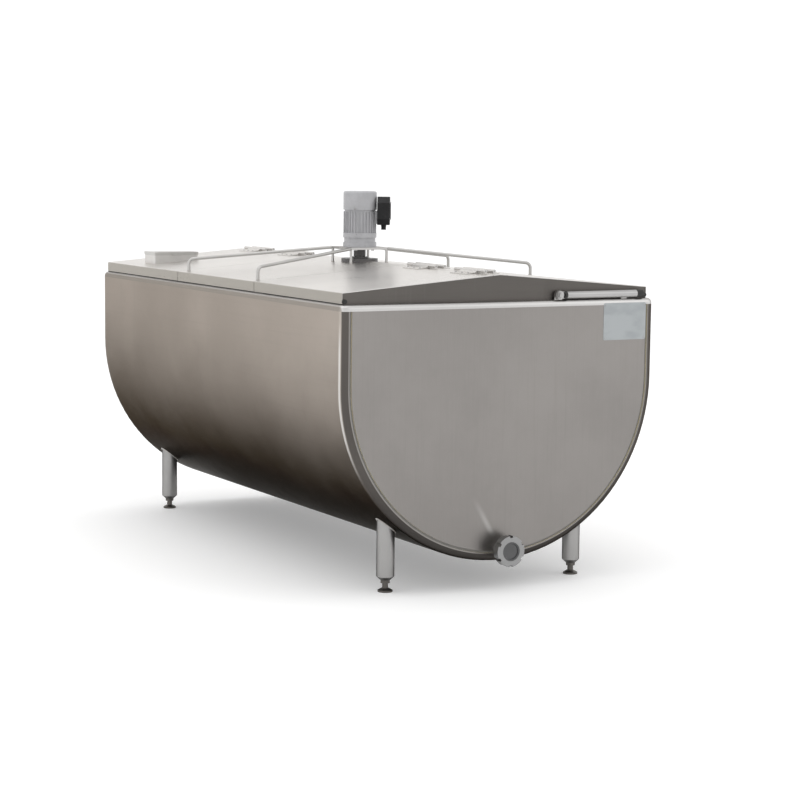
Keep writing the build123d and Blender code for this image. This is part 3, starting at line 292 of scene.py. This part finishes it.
def rolled_ends(finish, tone, lip_colour):
    """The rolled ends of the shell: a painted highlight, a bright line where the roll begins, then painted
    shade, a dark band on the roll itself, both fading towards the belly, and the flat lip inside it."""
    height = finish.axis("Z")
    drop = height.math("MINIMUM", height - HULL_CENTRE, 0.0)
    radius = (finish.axis("X") ** 2 + drop * drop) ** 0.5
    onto_roll = abs(finish.axis("Y") - (FRONT + REAR) / 2) - ((REAR - FRONT) / 2 - END_ROLL)
    on_front = finish.span(onto_roll, END_ROLL * 0.44, END_ROLL * 0.62)
    on_lip = finish.span(radius, HULL_RADIUS - END_ROLL + 0.0015, HULL_RADIUS - END_ROLL - 0.0005)
    # Painted highlight along the start of the roll
    painted_glint = finish.span(onto_roll, 0.0, END_ROLL * 0.18)
    painted_glint = painted_glint * finish.span(onto_roll, END_ROLL * 0.5, END_ROLL * 0.34)
    painted_glint = painted_glint * finish.span(height, 0.36, 0.55) * finish.span(height, 0.92, 0.8)
    # Painted shade on the roll, standing in for the shadow in the groove
    shade = on_front * (0.55 + 0.35 * finish.span(height, 0.3, 0.6))
    tone = finish.mix(painted_glint * 0.7, tone, ROLL_HIGHLIGHT)
    tone = finish.mix(shade, tone, ROLL_SHADE)
    return finish.mix(on_front * on_lip, tone, lip_colour)


def painted_reflection_streak(finish, tone):
    """Painted reflection of the outlet pipe: a bright streak on the front plate above it, leaning to the
    left as it rises.
    """
    foot_x, foot_z, lean, half_width = -0.032, 0.187, 0.571, 0.017
    height = finish.axis("Z")
    aside = abs(finish.axis("X") - foot_x + (height - foot_z) * lean)
    streak = finish.span(aside, half_width, 0.0)
    streak = streak * finish.span(height, 0.16, 0.21) * finish.span(height, 0.33, 0.2)
    on_front = finish.span(finish.axis("Y"), 0.1, -0.1)
    return finish.mix(streak * on_front * 0.5, tone, REFLECTION_STREAK)


def brushed_sheet(
    name, colour, grain, base_rough, dirt=0.5, bands=0.0, belly_shade=None, edge=(1.0, 1.0, 1.0), shaded_folds=None,
    rolled=None, with_reflection_streak=False
):
    """Brushed stainless sheet: fine lines along the grain, cloudy handling marks, thin runs of dirt.
    The belly shade is painted shade towards the bottom: the height where it is darkest, where it ends, and
    its strength.
    edge is the tint of the reflection at a grazing view. The folded sides get a darker colour as painted
    shade;
    its argument gives that colour and how far out it begins and is full. rolled is the colour of the flat
    lip inside the rolled ends.
    The reflection streak argument adds a painted reflection, a bright streak above the outlet."""
    finish = Finish(name, Metallic=1.0, Specular_Tint=(*edge, 1.0))
    across = {"X": (1.0, 60.0, 60.0), "Y": (60.0, 1.0, 60.0), "Z": (60.0, 60.0, 1.0)}[grain]
    lines = finish.noise(9.0, across, detail=6.0, rough=0.65)
    long_lines = finish.noise(1.6, across, detail=3.0, rough=0.6, shift=(3.1, 1.7, 0.4))
    clouds = finish.noise(2.3, detail=5.0, rough=0.62)
    smears = finish.noise(7.0, (1.0, 1.0, 0.35), detail=6.0, rough=0.7, shift=(5.0, 2.0, 1.0))
    runs = finish.noise(6.0, (4.0, 4.0, 0.12), detail=5.0, rough=0.6, shift=(0.7, 9.2, 2.0))
    tone = finish.clouded(clouds, (0.32, 0.72), colour, 0.93, 1.06)
    tone = finish.stain(tone, lines, (0.25, 0.8), 0.35, tint(colour, 1.14))
    tone = finish.stain(tone, long_lines, (0.5, 0.8), 0.3, tint(colour, 0.86))
    tone = finish.stain(tone, smears, (0.55, 0.78), 0.3 * dirt, tint(colour, 0.8))
    tone = finish.stain(tone, runs, (0.6, 0.8), 0.35 * dirt, WATER_RUN)
    if bands:
        stripes = finish.noise(2.6, (0.0, 1.0, 0.0), detail=1.0)
        tone = finish.stain(tone, stripes, (0.35, 0.65), bands, tint(colour, 0.9))
    if belly_shade:
        # Painted shade: darker towards the bottom, standing in for the shadowed floor reflected in the sheet
        darkest_height, clear, strength = belly_shade
        cloudy_height = finish.axis("Z") + swing(clouds, 0.1)
        tone = finish.stain(tone, cloudy_height, (clear, darkest_height), strength, BELLY_SHADE)
    if shaded_folds:
        # Painted shade: the sheet's folded sides made darker than its face
        fold_shade, begin, full = shaded_folds
        tone = finish.stain(tone, abs(finish.axis("X")), (begin, full), 0.95, fold_shade)
    if rolled:
        tone = rolled_ends(finish, tone, rolled)
    # Painted reflection of the outlet pipe above the outlet
    if with_reflection_streak:
        tone = painted_reflection_streak(finish, tone)
    finish.set("Base Color", tone)
    rough = base_rough + swing(clouds, 0.16) + swing(lines, 0.12)
    finish.set("Roughness", rough + finish.span(smears, 0.5, 0.8) * (0.1 * dirt))
    waves = finish.bump(finish.noise(1.9, detail=1.5), 0.006, 0.35)
    finish.set("Normal", finish.bump(lines, 0.00004, 0.5, waves))
    return finish.material


def turned_steel(name, colour, base_rough, dirt=0.5, edge=(1.0, 1.0, 1.0)):
    """Bright steel for rods, bolts and turned rings: faint scratches, water spots and a little grime.
    edge is the tint of the reflection at a grazing view."""
    finish = Finish(name, Metallic=1.0, Specular_Tint=(*edge, 1.0))
    scratches = finish.noise(140.0, (1.0, 1.0, 0.3), detail=5.0, rough=0.7)
    clouds = finish.noise(6.0, detail=2.0, rough=0.5)
    spots = finish.spots(160.0, 0.12)
    tone = finish.clouded(clouds, (0.35, 0.7), colour, 0.94, 1.04)
    tone = finish.mix(spots * (0.15 * dirt), tone, tint(colour, 0.7))
    tone = finish.stain(tone, clouds, (0.58, 0.75), 0.2 * dirt, tint(colour, 0.6))
    finish.set("Base Color", tone)
    finish.set("Roughness", base_rough + swing(scratches, 0.12) + swing(clouds, 0.08) + spots * 0.1)
    finish.set("Normal", finish.bump(scratches, 0.00003, 0.6))
    return finish.material


def grey_paint(name, colour):
    """Smooth machine paint: slight orange peel, a cloudy tone, grime low down and a few small chips."""
    finish = Finish(name, Metallic=0.0, Coat_Weight=0.2)
    peel = finish.noise(420.0, detail=2.0)
    clouds = finish.noise(18.0, detail=5.0, rough=0.65)
    fine = finish.noise(90.0, detail=4.0, rough=0.7)
    grime = finish.span(fine, 0.56, 0.74) * finish.span(finish.axis("Z"), 1.2, 1.1)
    chips = finish.span(finish.noise(120.0, detail=2.0, shift=(4.0, 1.0, 7.0)), 0.73, 0.77)
    tone = finish.clouded(clouds, (0.3, 0.75), colour, 0.9, 1.08)
    tone = finish.mix(grime * 0.5, tone, (0.2, 0.19, 0.17))
    finish.set("Base Color", finish.mix(chips * 0.6, tone, (0.16, 0.16, 0.17)))
    finish.set("Roughness", 0.38 + swing(clouds, 0.2) + fine * 0.12)
    finish.set("Normal", finish.bump(peel - chips * 0.8, 0.00008, 0.5))
    return finish.material


def moulded(name, colour, grain_scale, base_rough):
    """Moulded plastic: even fine grain, slightly lighter in soft patches, with dust."""
    finish = Finish(name, Metallic=0.0, Specular_IOR_Level=0.3)
    grain = finish.noise(grain_scale, detail=3.0, rough=0.6)
    clouds = finish.noise(20.0, detail=5.0, rough=0.65)
    dust = finish.span(finish.noise(70.0, detail=5.0, rough=0.75, shift=(2.0, 6.0, 3.0)), 0.5, 0.8)
    tone = finish.clouded(clouds, (0.35, 0.75), colour, 1.0, 1.6)
    finish.set("Base Color", finish.mix(dust * 0.06, tone, (0.3, 0.28, 0.26)))
    finish.set("Roughness", base_rough + swing(grain, 0.2) + dust * 0.15)
    finish.set("Normal", finish.bump(grain, 0.0001, 0.6))
    return finish.material


def dull_rubber(name, colour):
    """Rubber: matt, faintly worn grey, with a very fine skin."""
    finish = Finish(name, Metallic=0.0)
    skin = finish.noise(260.0, detail=4.0, rough=0.7)
    wear = finish.span(finish.noise(35.0, detail=5.0, rough=0.7), 0.48, 0.75)
    finish.set("Base Color", finish.mix(wear * 0.4, colour, (0.09, 0.088, 0.085)))
    finish.set("Roughness", 0.72 + swing(skin, 0.2) + wear * 0.1)
    finish.set("Normal", finish.bump(skin, 0.0001, 0.5))
    return finish.material


def foam_skin(name):
    """Cut rigid foam: open pores on a pale yellow ground."""
    finish = Finish(name, Metallic=0.0, Roughness=0.9)
    pores = finish.spots(300.0, 0.35)
    clouds = finish.noise(9.0, detail=4.0)
    tone = finish.mix(clouds, (0.68, 0.6, 0.38), (0.8, 0.73, 0.5))
    finish.set("Base Color", finish.mix(pores * 0.5, tone, (0.45, 0.38, 0.22)))
    finish.set("Normal", finish.bump(1 - pores, 0.0004, 0.7))
    return finish.material


def drawn_copper(name):
    """Copper tube: warm, with brown tarnish in soft patches."""
    finish = Finish(name, Metallic=1.0)
    tarnish = finish.span(finish.noise(40.0, detail=5.0, rough=0.65), 0.4, 0.7)
    lines = finish.noise(200.0, detail=3.0)
    finish.set("Base Color", finish.mix(tarnish, (0.62, 0.33, 0.2), (0.3, 0.15, 0.09)))
    finish.set("Roughness", 0.3 + tarnish * 0.25 + swing(lines, 0.1))
    finish.set("Normal", finish.bump(lines, 0.00004, 0.5))
    return finish.material


def weld_metal(name):
    """Weld bead: bright ripples with straw heat tint in patches."""
    finish = Finish(name, Metallic=1.0)
    ripples = finish.noise(220.0, detail=2.0)
    heat = finish.span(finish.noise(30.0, detail=3.0), 0.42, 0.7)
    finish.set("Base Color", finish.mix(heat * 0.6, (0.5, 0.49, 0.47), (0.34, 0.29, 0.24)))
    finish.set("Roughness", 0.36 + ripples * 0.2)
    finish.set("Normal", finish.bump(ripples, 0.0005, 0.8))
    return finish.material


def blank_skin(name):
    """Anodised blank plate: pale, with faint rubbed patches."""
    finish = Finish(name, Metallic=0.25)
    rubs = finish.noise(12.0, (1.0, 1.0, 2.0), detail=3.0, rough=0.5)
    fine = finish.noise(300.0, (1.0, 1.0, 0.2), detail=3.0)
    finish.set("Base Color", finish.mix(finish.span(rubs, 0.4, 0.7), (0.36, 0.38, 0.39), (0.31, 0.33, 0.34)))
    finish.set("Roughness", 0.42 + swing(rubs, 0.12) + swing(fine, 0.1))
    finish.set("Normal", finish.bump(fine, 0.00003, 0.5))
    return finish.material


# One finish for each material slot
finishes = {
    "brushed_shell": brushed_sheet(
        "brushed_shell", (0.44, 0.395, 0.355), "Y", 0.35, bands=0.35, belly_shade=(0.2, 0.93, 0.96),
        edge=(0.28, 0.265, 0.25), rolled=PLATE_STEEL,
    ),
    "brushed_plate": brushed_sheet(
        "brushed_plate", PLATE_STEEL, "Z", 0.36, belly_shade=(0.1, 0.9, 0.12), with_reflection_streak=True,
    ),
    "brushed_rim": brushed_sheet(
        "brushed_rim", (0.56, 0.55, 0.54), "Y", 0.32, edge=(0.5, 0.48, 0.46),
        shaded_folds=((0.33, 0.3, 0.27), HULL_RADIUS - 0.006, HULL_RADIUS - 0.002),
    ),
    "polished_roof": brushed_sheet(
        "polished_roof", (0.62, 0.607, 0.59), "Y", 0.3, dirt=0.3, edge=(0.97, 0.95, 0.93),
        shaded_folds=((0.27, 0.25, 0.215), ROOF_HALF_WIDTH - 0.003, ROOF_HALF_WIDTH + 0.001),
    ),
    "polished_vessel": brushed_sheet("polished_vessel", (0.6, 0.6, 0.59), "Y", 0.28, dirt=0.15),
    "bright_steel": turned_steel("bright_steel", (0.42, 0.415, 0.41), 0.3),
    # Painted shade: the front gable is the same stainless steel, given a dark base colour for the shade on
    # it
    "dark_steel": brushed_sheet("dark_steel", (0.125, 0.116, 0.108), "X", 0.45),
    "dark_painted": grey_paint("dark_painted", (0.09, 0.085, 0.085)),
    "motor_paint": grey_paint("motor_paint", (0.42, 0.42, 0.435)),
    "black_plastic": moulded("black_plastic", (0.008, 0.008, 0.009), 500.0, 0.5),
    "fan_plastic": moulded("fan_plastic", (0.04, 0.04, 0.042), 400.0, 0.55),
    "black_rubber": dull_rubber("black_rubber", (0.022, 0.021, 0.02)),
    "dark_sealant": dull_rubber("grey_sealant", (0.2, 0.195, 0.19)),
    "foam": foam_skin("foam"),
    "copper": drawn_copper("copper"),
}

# Finishes of pieces that differ a little from the rest of their slot
own_finishes = {
    "fill_hatch_lid": brushed_sheet("hatch_sheet", (0.53, 0.52, 0.5), "X", 0.34, dirt=0.4),
    "outlet_union_nut": turned_steel("nut_steel", (0.29, 0.29, 0.29), 0.34, dirt=1.0),
    # Painted shade: the blank cap's steel is made dark for the shade in its dished middle
    "outlet_blank_cap": turned_steel("cap_steel_painted_shade", (0.11, 0.11, 0.112), 0.38, dirt=1.0),
}
weld = weld_metal("weld_metal")
blank = blank_skin("blank_plate")
stay_steel = turned_steel("stay_steel", (0.52, 0.51, 0.495), 0.34, dirt=0.4)
leg_steel = turned_steel("leg_steel", (0.34, 0.335, 0.33), 0.32, edge=(0.1, 0.1, 0.1))
for corner in ("front_left", "front_right", "rear_left", "rear_right"):
    own_finishes[f"stay_{corner}"] = stay_steel
    own_finishes[f"leg_{corner}"] = leg_steel
for entry in frame["record"]["subparts"]:
    shown = nodes[entry["node"]]
    shown.data.materials.clear()
    shown.data.materials.append(own_finishes.get(entry["node"], finishes[entry["material_slot"]]))


def add_piece(name, bm, body, slot, material=None, crease=35):
    """Makes a finished mesh into a piece that rides on a body, in its slot's finish or one of its own."""
    bmesh.ops.remove_doubles(bm, verts=bm.verts, dist=MERGE_DISTANCE)
    bmesh.ops.recalc_face_normals(bm, faces=bm.faces)
    mesh = bpy.data.meshes.new(name)
    bm.to_mesh(mesh)
    bm.free()
    for face in mesh.polygons:
        face.use_smooth = True
    mesh.set_sharp_from_angle(angle=radians(crease))
    mesh.materials.append(material or finishes[slot])
    made = bpy.data.objects.new(name, mesh)
    bpy.context.scene.collection.objects.link(made)
    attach(made, body)


def merge(bm, shape, where):
    """Puts a finished shape in its place and adds it to a piece."""
    bmesh.ops.transform(shape, matrix=where, verts=shape.verts)
    carrier = bpy.data.meshes.new("carrier")
    shape.to_mesh(carrier)
    shape.free()
    bm.from_mesh(carrier)
    bpy.data.meshes.remove(carrier)


def spun(outline, steps):
    """A shape spun about the Z axis from an outline of (radius, height) points."""
    shape = bmesh.new()
    points = [shape.verts.new((radius, 0, height)) for radius, height in outline]
    edges = [shape.edges.new(pair) for pair in zip(points, points[1:])]
    bmesh.ops.spin(
        shape, geom=points + edges, cent=(0, 0, 0), axis=(0, 0, 1), angle=2 * pi, steps=steps, use_merge=True
    )
    bmesh.ops.remove_doubles(shape, verts=shape.verts, dist=MERGE_DISTANCE)
    return shape


def rounded_plate(size, corner):
    """Flat plate about the origin, its thickness along Z and its four corners rounded."""
    plate = bmesh.new()
    bmesh.ops.create_cube(plate, size=1.0, matrix=Matrix.Diagonal((*size, 1)))
    upright = [edge for edge in plate.edges if abs(edge.verts[0].co.z - edge.verts[1].co.z) > size[2] / 2]
    bmesh.ops.bevel(plate, geom=upright, offset=corner, segments=5, profile=0.5, affect="EDGES", material=-1)
    return plate


def facing(place, outwards):
    """A place with its Z axis pointing outwards."""
    turn = Vector(outwards).to_track_quat("Z", "Y").to_matrix().to_4x4()
    return Matrix.Translation(place) @ turn


def four_places(across, up):
    """The corners of a rectangle about its middle, from half its width and half its height."""
    return [(first, second) for first in (-across, across) for second in (-up, up)]


def hex_nut(bm, across, height, where):
    """Six-sided nut with a chamfered top and a washer under it."""
    nut = bmesh.new()
    bmesh.ops.create_cone(
        nut, cap_ends=True, segments=6, radius1=across / sqrt(3), radius2=across / sqrt(3), depth=height,
        matrix=Matrix.Translation((0, 0, height / 2)),
    )
    top_edges = [edge for edge in nut.edges if all(vert.co.z > height * 0.9 for vert in edge.verts)]
    bmesh.ops.bevel(
        nut, geom=top_edges, offset=height * 0.18, segments=2, profile=0.5, affect="EDGES", material=-1
    )
    merge(bm, nut, where)
    washer = across * 0.72
    outline = [(0, WASHER_BOTTOM), (washer, WASHER_BOTTOM), (washer, WASHER_TOP), (0, WASHER_TOP)]
    merge(bm, spun(outline, 28), where)


def dome_head(bm, radius, height, where):
    """Domed screw or rivet head with a small socket in the middle."""
    socket = radius * 0.42
    outline = [(radius, 0), (radius * 0.97, height * 0.4), (radius * 0.75, height * 0.86), (socket, height)]
    outline += [(socket, height * 0.45), (0, height * 0.45)]
    merge(bm, spun(outline, 20), where)


def bead(bm, radius, thickness, centre, surface, steps):
    """Weld bead round an upright bar, following the surface that it stands on."""
    angles = [2 * pi * index / BEAD_SIDES for index in range(BEAD_SIDES + 1)]
    ring = spun([(radius + thickness * cos(angle), thickness * sin(angle)) for angle in angles], steps)
    for vert in ring.verts:
        ripple = sin(vert.co.x * RIPPLE_RADIANS_PER_METRE) * sin(vert.co.y * RIPPLE_RADIANS_PER_METRE)
        vert.co.z += surface(vert.co.x + centre[0]) + RIPPLE_HEIGHT * ripple
    merge(bm, ring, Matrix.Translation((*centre, 0)))


# Weld beads where the legs meet the belly
leg_beads = bmesh.new()
for leg_x in (-LEG_X, LEG_X):
    for leg_y in (FRONT + LEG_FROM_END, REAR - LEG_FROM_END):
        bead(leg_beads, *LEG_BEAD, (leg_x, leg_y), belly_z, LEG_BEAD_STEPS)
add_piece("leg_weld_beads", leg_beads, "tank", "bright_steel", weld, BEAD_CREASE)

# Weld beads at the feet of the stays and of the motor stand
roof_beads = bmesh.new()
for side, way in four_places(1, 1):
    stay_foot = (side * STAY_FOOT_X, AGITATOR_Y + way * STAY_FOOT_Y)
    stand_foot = (side * STAND_LEG_PLACE, AGITATOR_Y + way * STAND_LEG_PLACE)
    bead(roof_beads, *STAY_BEAD, stay_foot, roof_z, ROOF_BEAD_STEPS)
    bead(roof_beads, *STAND_BEAD, stand_foot, roof_z, ROOF_BEAD_STEPS)
add_piece("roof_weld_beads", roof_beads, "tank", "bright_steel", weld, BEAD_CREASE)

# Screws of the hinge straps, one piece for each leaf
bridge_reach = BRIDGE_HALF_WIDTH + LEAF_SEAM / 2
leaves = {
    "front": (ROOF_FRONT, AGITATOR_Y - bridge_reach),
    "rear": (AGITATOR_Y + bridge_reach, ROOF_REAR),
}
for end, (start, stop) in leaves.items():
    for name, side in (("left", -1), ("right", 1)):
        screws = bmesh.new()
        for share in STRAP_SHARES:
            for along in (-STRAP_SCREW_SPACING, 0.0, STRAP_SCREW_SPACING):
                screw_y = (start + stop) / 2 + share * (stop - start) + along
                place = (side * STRAP_SCREW_X, screw_y, roof_z(STRAP_SCREW_X) + STRAP_THICKNESS)
                dome_head(screws, *STRAP_SCREW, facing(place, (side * SLOPE, 0, 1)))
        add_piece(f"strap_screws_{end}_{name}", screws, f"lid_{end}_{name}", "bright_steel")

# Screws of the terminal box lid
box_out = Vector((cos(BOX_TURN), sin(BOX_TURN), 0))
box_across = Vector((-sin(BOX_TURN), cos(BOX_TURN), 0))
box_middle = Vector((0, AGITATOR_Y, BOX_Z))
box_screws = bmesh.new()
for across, up in four_places(*BOX_SCREW_SPREAD):
    place = box_middle + box_out * BOX_SCREW_REACH + box_across * across + Vector((0, 0, up))
    dome_head(box_screws, *BOX_SCREW, facing(place, box_out))
add_piece("terminal_box_screws", box_screws, "tank", "bright_steel")

# Raised panel on the terminal box lid
panel = rounded_plate(PANEL_SIZE, PANEL_CORNER)
top_edges = [edge for edge in panel.edges if all(vert.co.z > PANEL_SIZE[2] * 0.4 for vert in edge.verts)]
bmesh.ops.bevel(
    panel, geom=top_edges, offset=PANEL_EDGE, segments=2, profile=0.5, affect="EDGES", material=-1
)
bmesh.ops.transform(panel, matrix=facing(box_middle + box_out * PANEL_REACH, box_out), verts=panel.verts)
add_piece("terminal_box_panel", panel, "tank", "black_plastic")

# Screws round the fan cowl
cowl_screws = bmesh.new()
for index in range(4):
    angle = radians(45 + 90 * index)
    out = Vector((cos(angle), sin(angle), 0))
    place = Vector((0, AGITATOR_Y, COWL_SCREW_Z)) + out * COWL_RADIUS
    dome_head(cowl_screws, *COWL_SCREW, facing(place, out))
add_piece("cowl_screws", cowl_screws, "tank", "bright_steel")

# Nut on the pivot of the lid prop
pivot_nut = bmesh.new()
hex_nut(pivot_nut, *PIVOT_NUT, facing((PROP_PIVOT_X, FRONT + PIVOT_NUT_SEAT, PROP_Z), (0, -1, 0)))
add_piece("prop_pivot_nut", pivot_nut, "tank", "bright_steel")

# Rubber collar on the lid prop
prop_collar = bmesh.new()
collar_outline = [(COLLAR_INNER, 0), (COLLAR_OUTER, 0.0008)]
collar_outline += [(COLLAR_OUTER, COLLAR_LENGTH - 0.001), (COLLAR_INNER, COLLAR_LENGTH)]
collar_place = (PROP_PIVOT_X + COLLAR_FROM_PIVOT, FRONT + PROP_FROM_FRONT, PROP_Z)
along_x = Matrix.Translation(collar_place) @ Matrix.Rotation(pi / 2, 4, "Y")
merge(prop_collar, spun(collar_outline, 40), along_x)
add_piece("prop_collar", prop_collar, "prop", "black_rubber")

# Blank plate on the front, held by four small rivets
blank_width, blank_height, blank_thickness = BLANK_SIZE
blank_plate = rounded_plate(BLANK_SIZE, BLANK_CORNER)
blank_middle = facing((BLANK_X, FRONT - blank_thickness / 2, BLANK_Z), (0, -1, 0))
bmesh.ops.transform(blank_plate, matrix=blank_middle, verts=blank_plate.verts)
add_piece("blank_front_plate", blank_plate, "tank", "brushed_plate", blank)
rivets = bmesh.new()
for across, up in four_places(blank_width / 2 - RIVET_INSET, blank_height / 2 - RIVET_INSET):
    place = (BLANK_X + across, FRONT - blank_thickness, BLANK_Z + up)
    dome_head(rivets, *RIVET, facing(place, (0, -1, 0)))
add_piece("blank_plate_rivets", rivets, "tank", "bright_steel")

# Floor and backdrop
backdrop = bmesh.new()
line_points = [backdrop.verts.new((FLOOR_LEFT, y, z)) for y, z in FLOOR_LINE]
line_edges = [backdrop.edges.new(pair) for pair in zip(line_points, line_points[1:])]
swept = bmesh.ops.extrude_edge_only(backdrop, edges=line_edges)["geom"]
far_points = [item for item in swept if isinstance(item, bmesh.types.BMVert)]
bmesh.ops.translate(backdrop, vec=(FLOOR_WIDTH, 0, 0), verts=far_points)
bends = [edge for edge in backdrop.edges if not edge.is_boundary]
bmesh.ops.bevel(
    backdrop, geom=bends, offset=FLOOR_BEND, segments=12, profile=0.5, affect="EDGES", material=-1
)
floor_mesh = bpy.data.meshes.new("studio_floor")
backdrop.to_mesh(floor_mesh)
backdrop.free()
for face in floor_mesh.polygons:
    face.use_smooth = True
floor_finish = Finish(
    "studio_floor", Metallic=0.0, Roughness=0.8, Emission_Color=WHITE, Emission_Strength=0.2
)
floor_clouds = floor_finish.noise(0.8, detail=4.0)
floor_finish.set("Base Color", floor_finish.mix(floor_clouds, (0.86, 0.86, 0.86), (0.9, 0.9, 0.9)))
floor_mesh.materials.append(floor_finish.material)
studio_floor = bpy.data.objects.new("studio_floor", floor_mesh)
bpy.context.scene.collection.objects.link(studio_floor)


def soft_light(name, place, aim, size, power):
    """Rectangular soft light aimed at a point."""
    light = bpy.data.lights.new(name, "AREA")
    light.shape = "RECTANGLE"
    light.size, light.size_y = size
    light.energy = power
    lamp = bpy.data.objects.new(name, light)
    turn = (Vector(aim) - Vector(place)).to_track_quat("-Z", "Y").to_matrix().to_4x4()
    lamp.matrix_world = Matrix.Translation(place) @ turn
    bpy.context.scene.collection.objects.link(lamp)


soft_light("overhead", place=(-1.0, 0.5, 5.5), aim=(0, 0, 1.0), size=(6, 6), power=55)
soft_light("front_key", place=(5.0, -5.0, 4.2), aim=(0, -1.0, 0.6), size=(5, 5), power=40)
soft_light("left_fill", place=(-6.0, -0.5, 2.6), aim=(-0.6, 0, 0.8), size=(5, 3), power=16)

# Even white light from all sides
world = bpy.data.worlds.new("studio_air")
bpy.context.scene.world = world
world.use_nodes = True
world.node_tree.nodes["Background"].inputs["Color"].default_value = WHITE
world.node_tree.nodes["Background"].inputs["Strength"].default_value = 1.0

# Camera at the photograph's viewing angle
forward = Vector((sin(YAW) * cos(PITCH), cos(YAW) * cos(PITCH), -sin(PITCH)))
level = Vector((cos(YAW), -sin(YAW), 0))
upward = Vector((sin(YAW) * sin(PITCH), cos(YAW) * sin(PITCH), cos(PITCH)))
right = level * cos(ROLL) + upward * sin(ROLL)
top = upward * cos(ROLL) - level * sin(ROLL)
camera_data = bpy.data.cameras.new("camera")
camera_data.sensor_width = SENSOR_WIDTH
camera_data.lens = FOCAL_PIXELS * SENSOR_WIDTH / PHOTO_WIDTH
camera_data.clip_end = 200
camera = bpy.data.objects.new("camera", camera_data)
camera_turn = Matrix((right, top, -forward)).transposed().to_4x4()
camera.matrix_world = Matrix.Translation(CAMERA_PLACE) @ camera_turn
bpy.context.scene.collection.objects.link(camera)
bpy.context.scene.camera = camera
bpy.context.scene.view_settings.view_transform = "Standard"
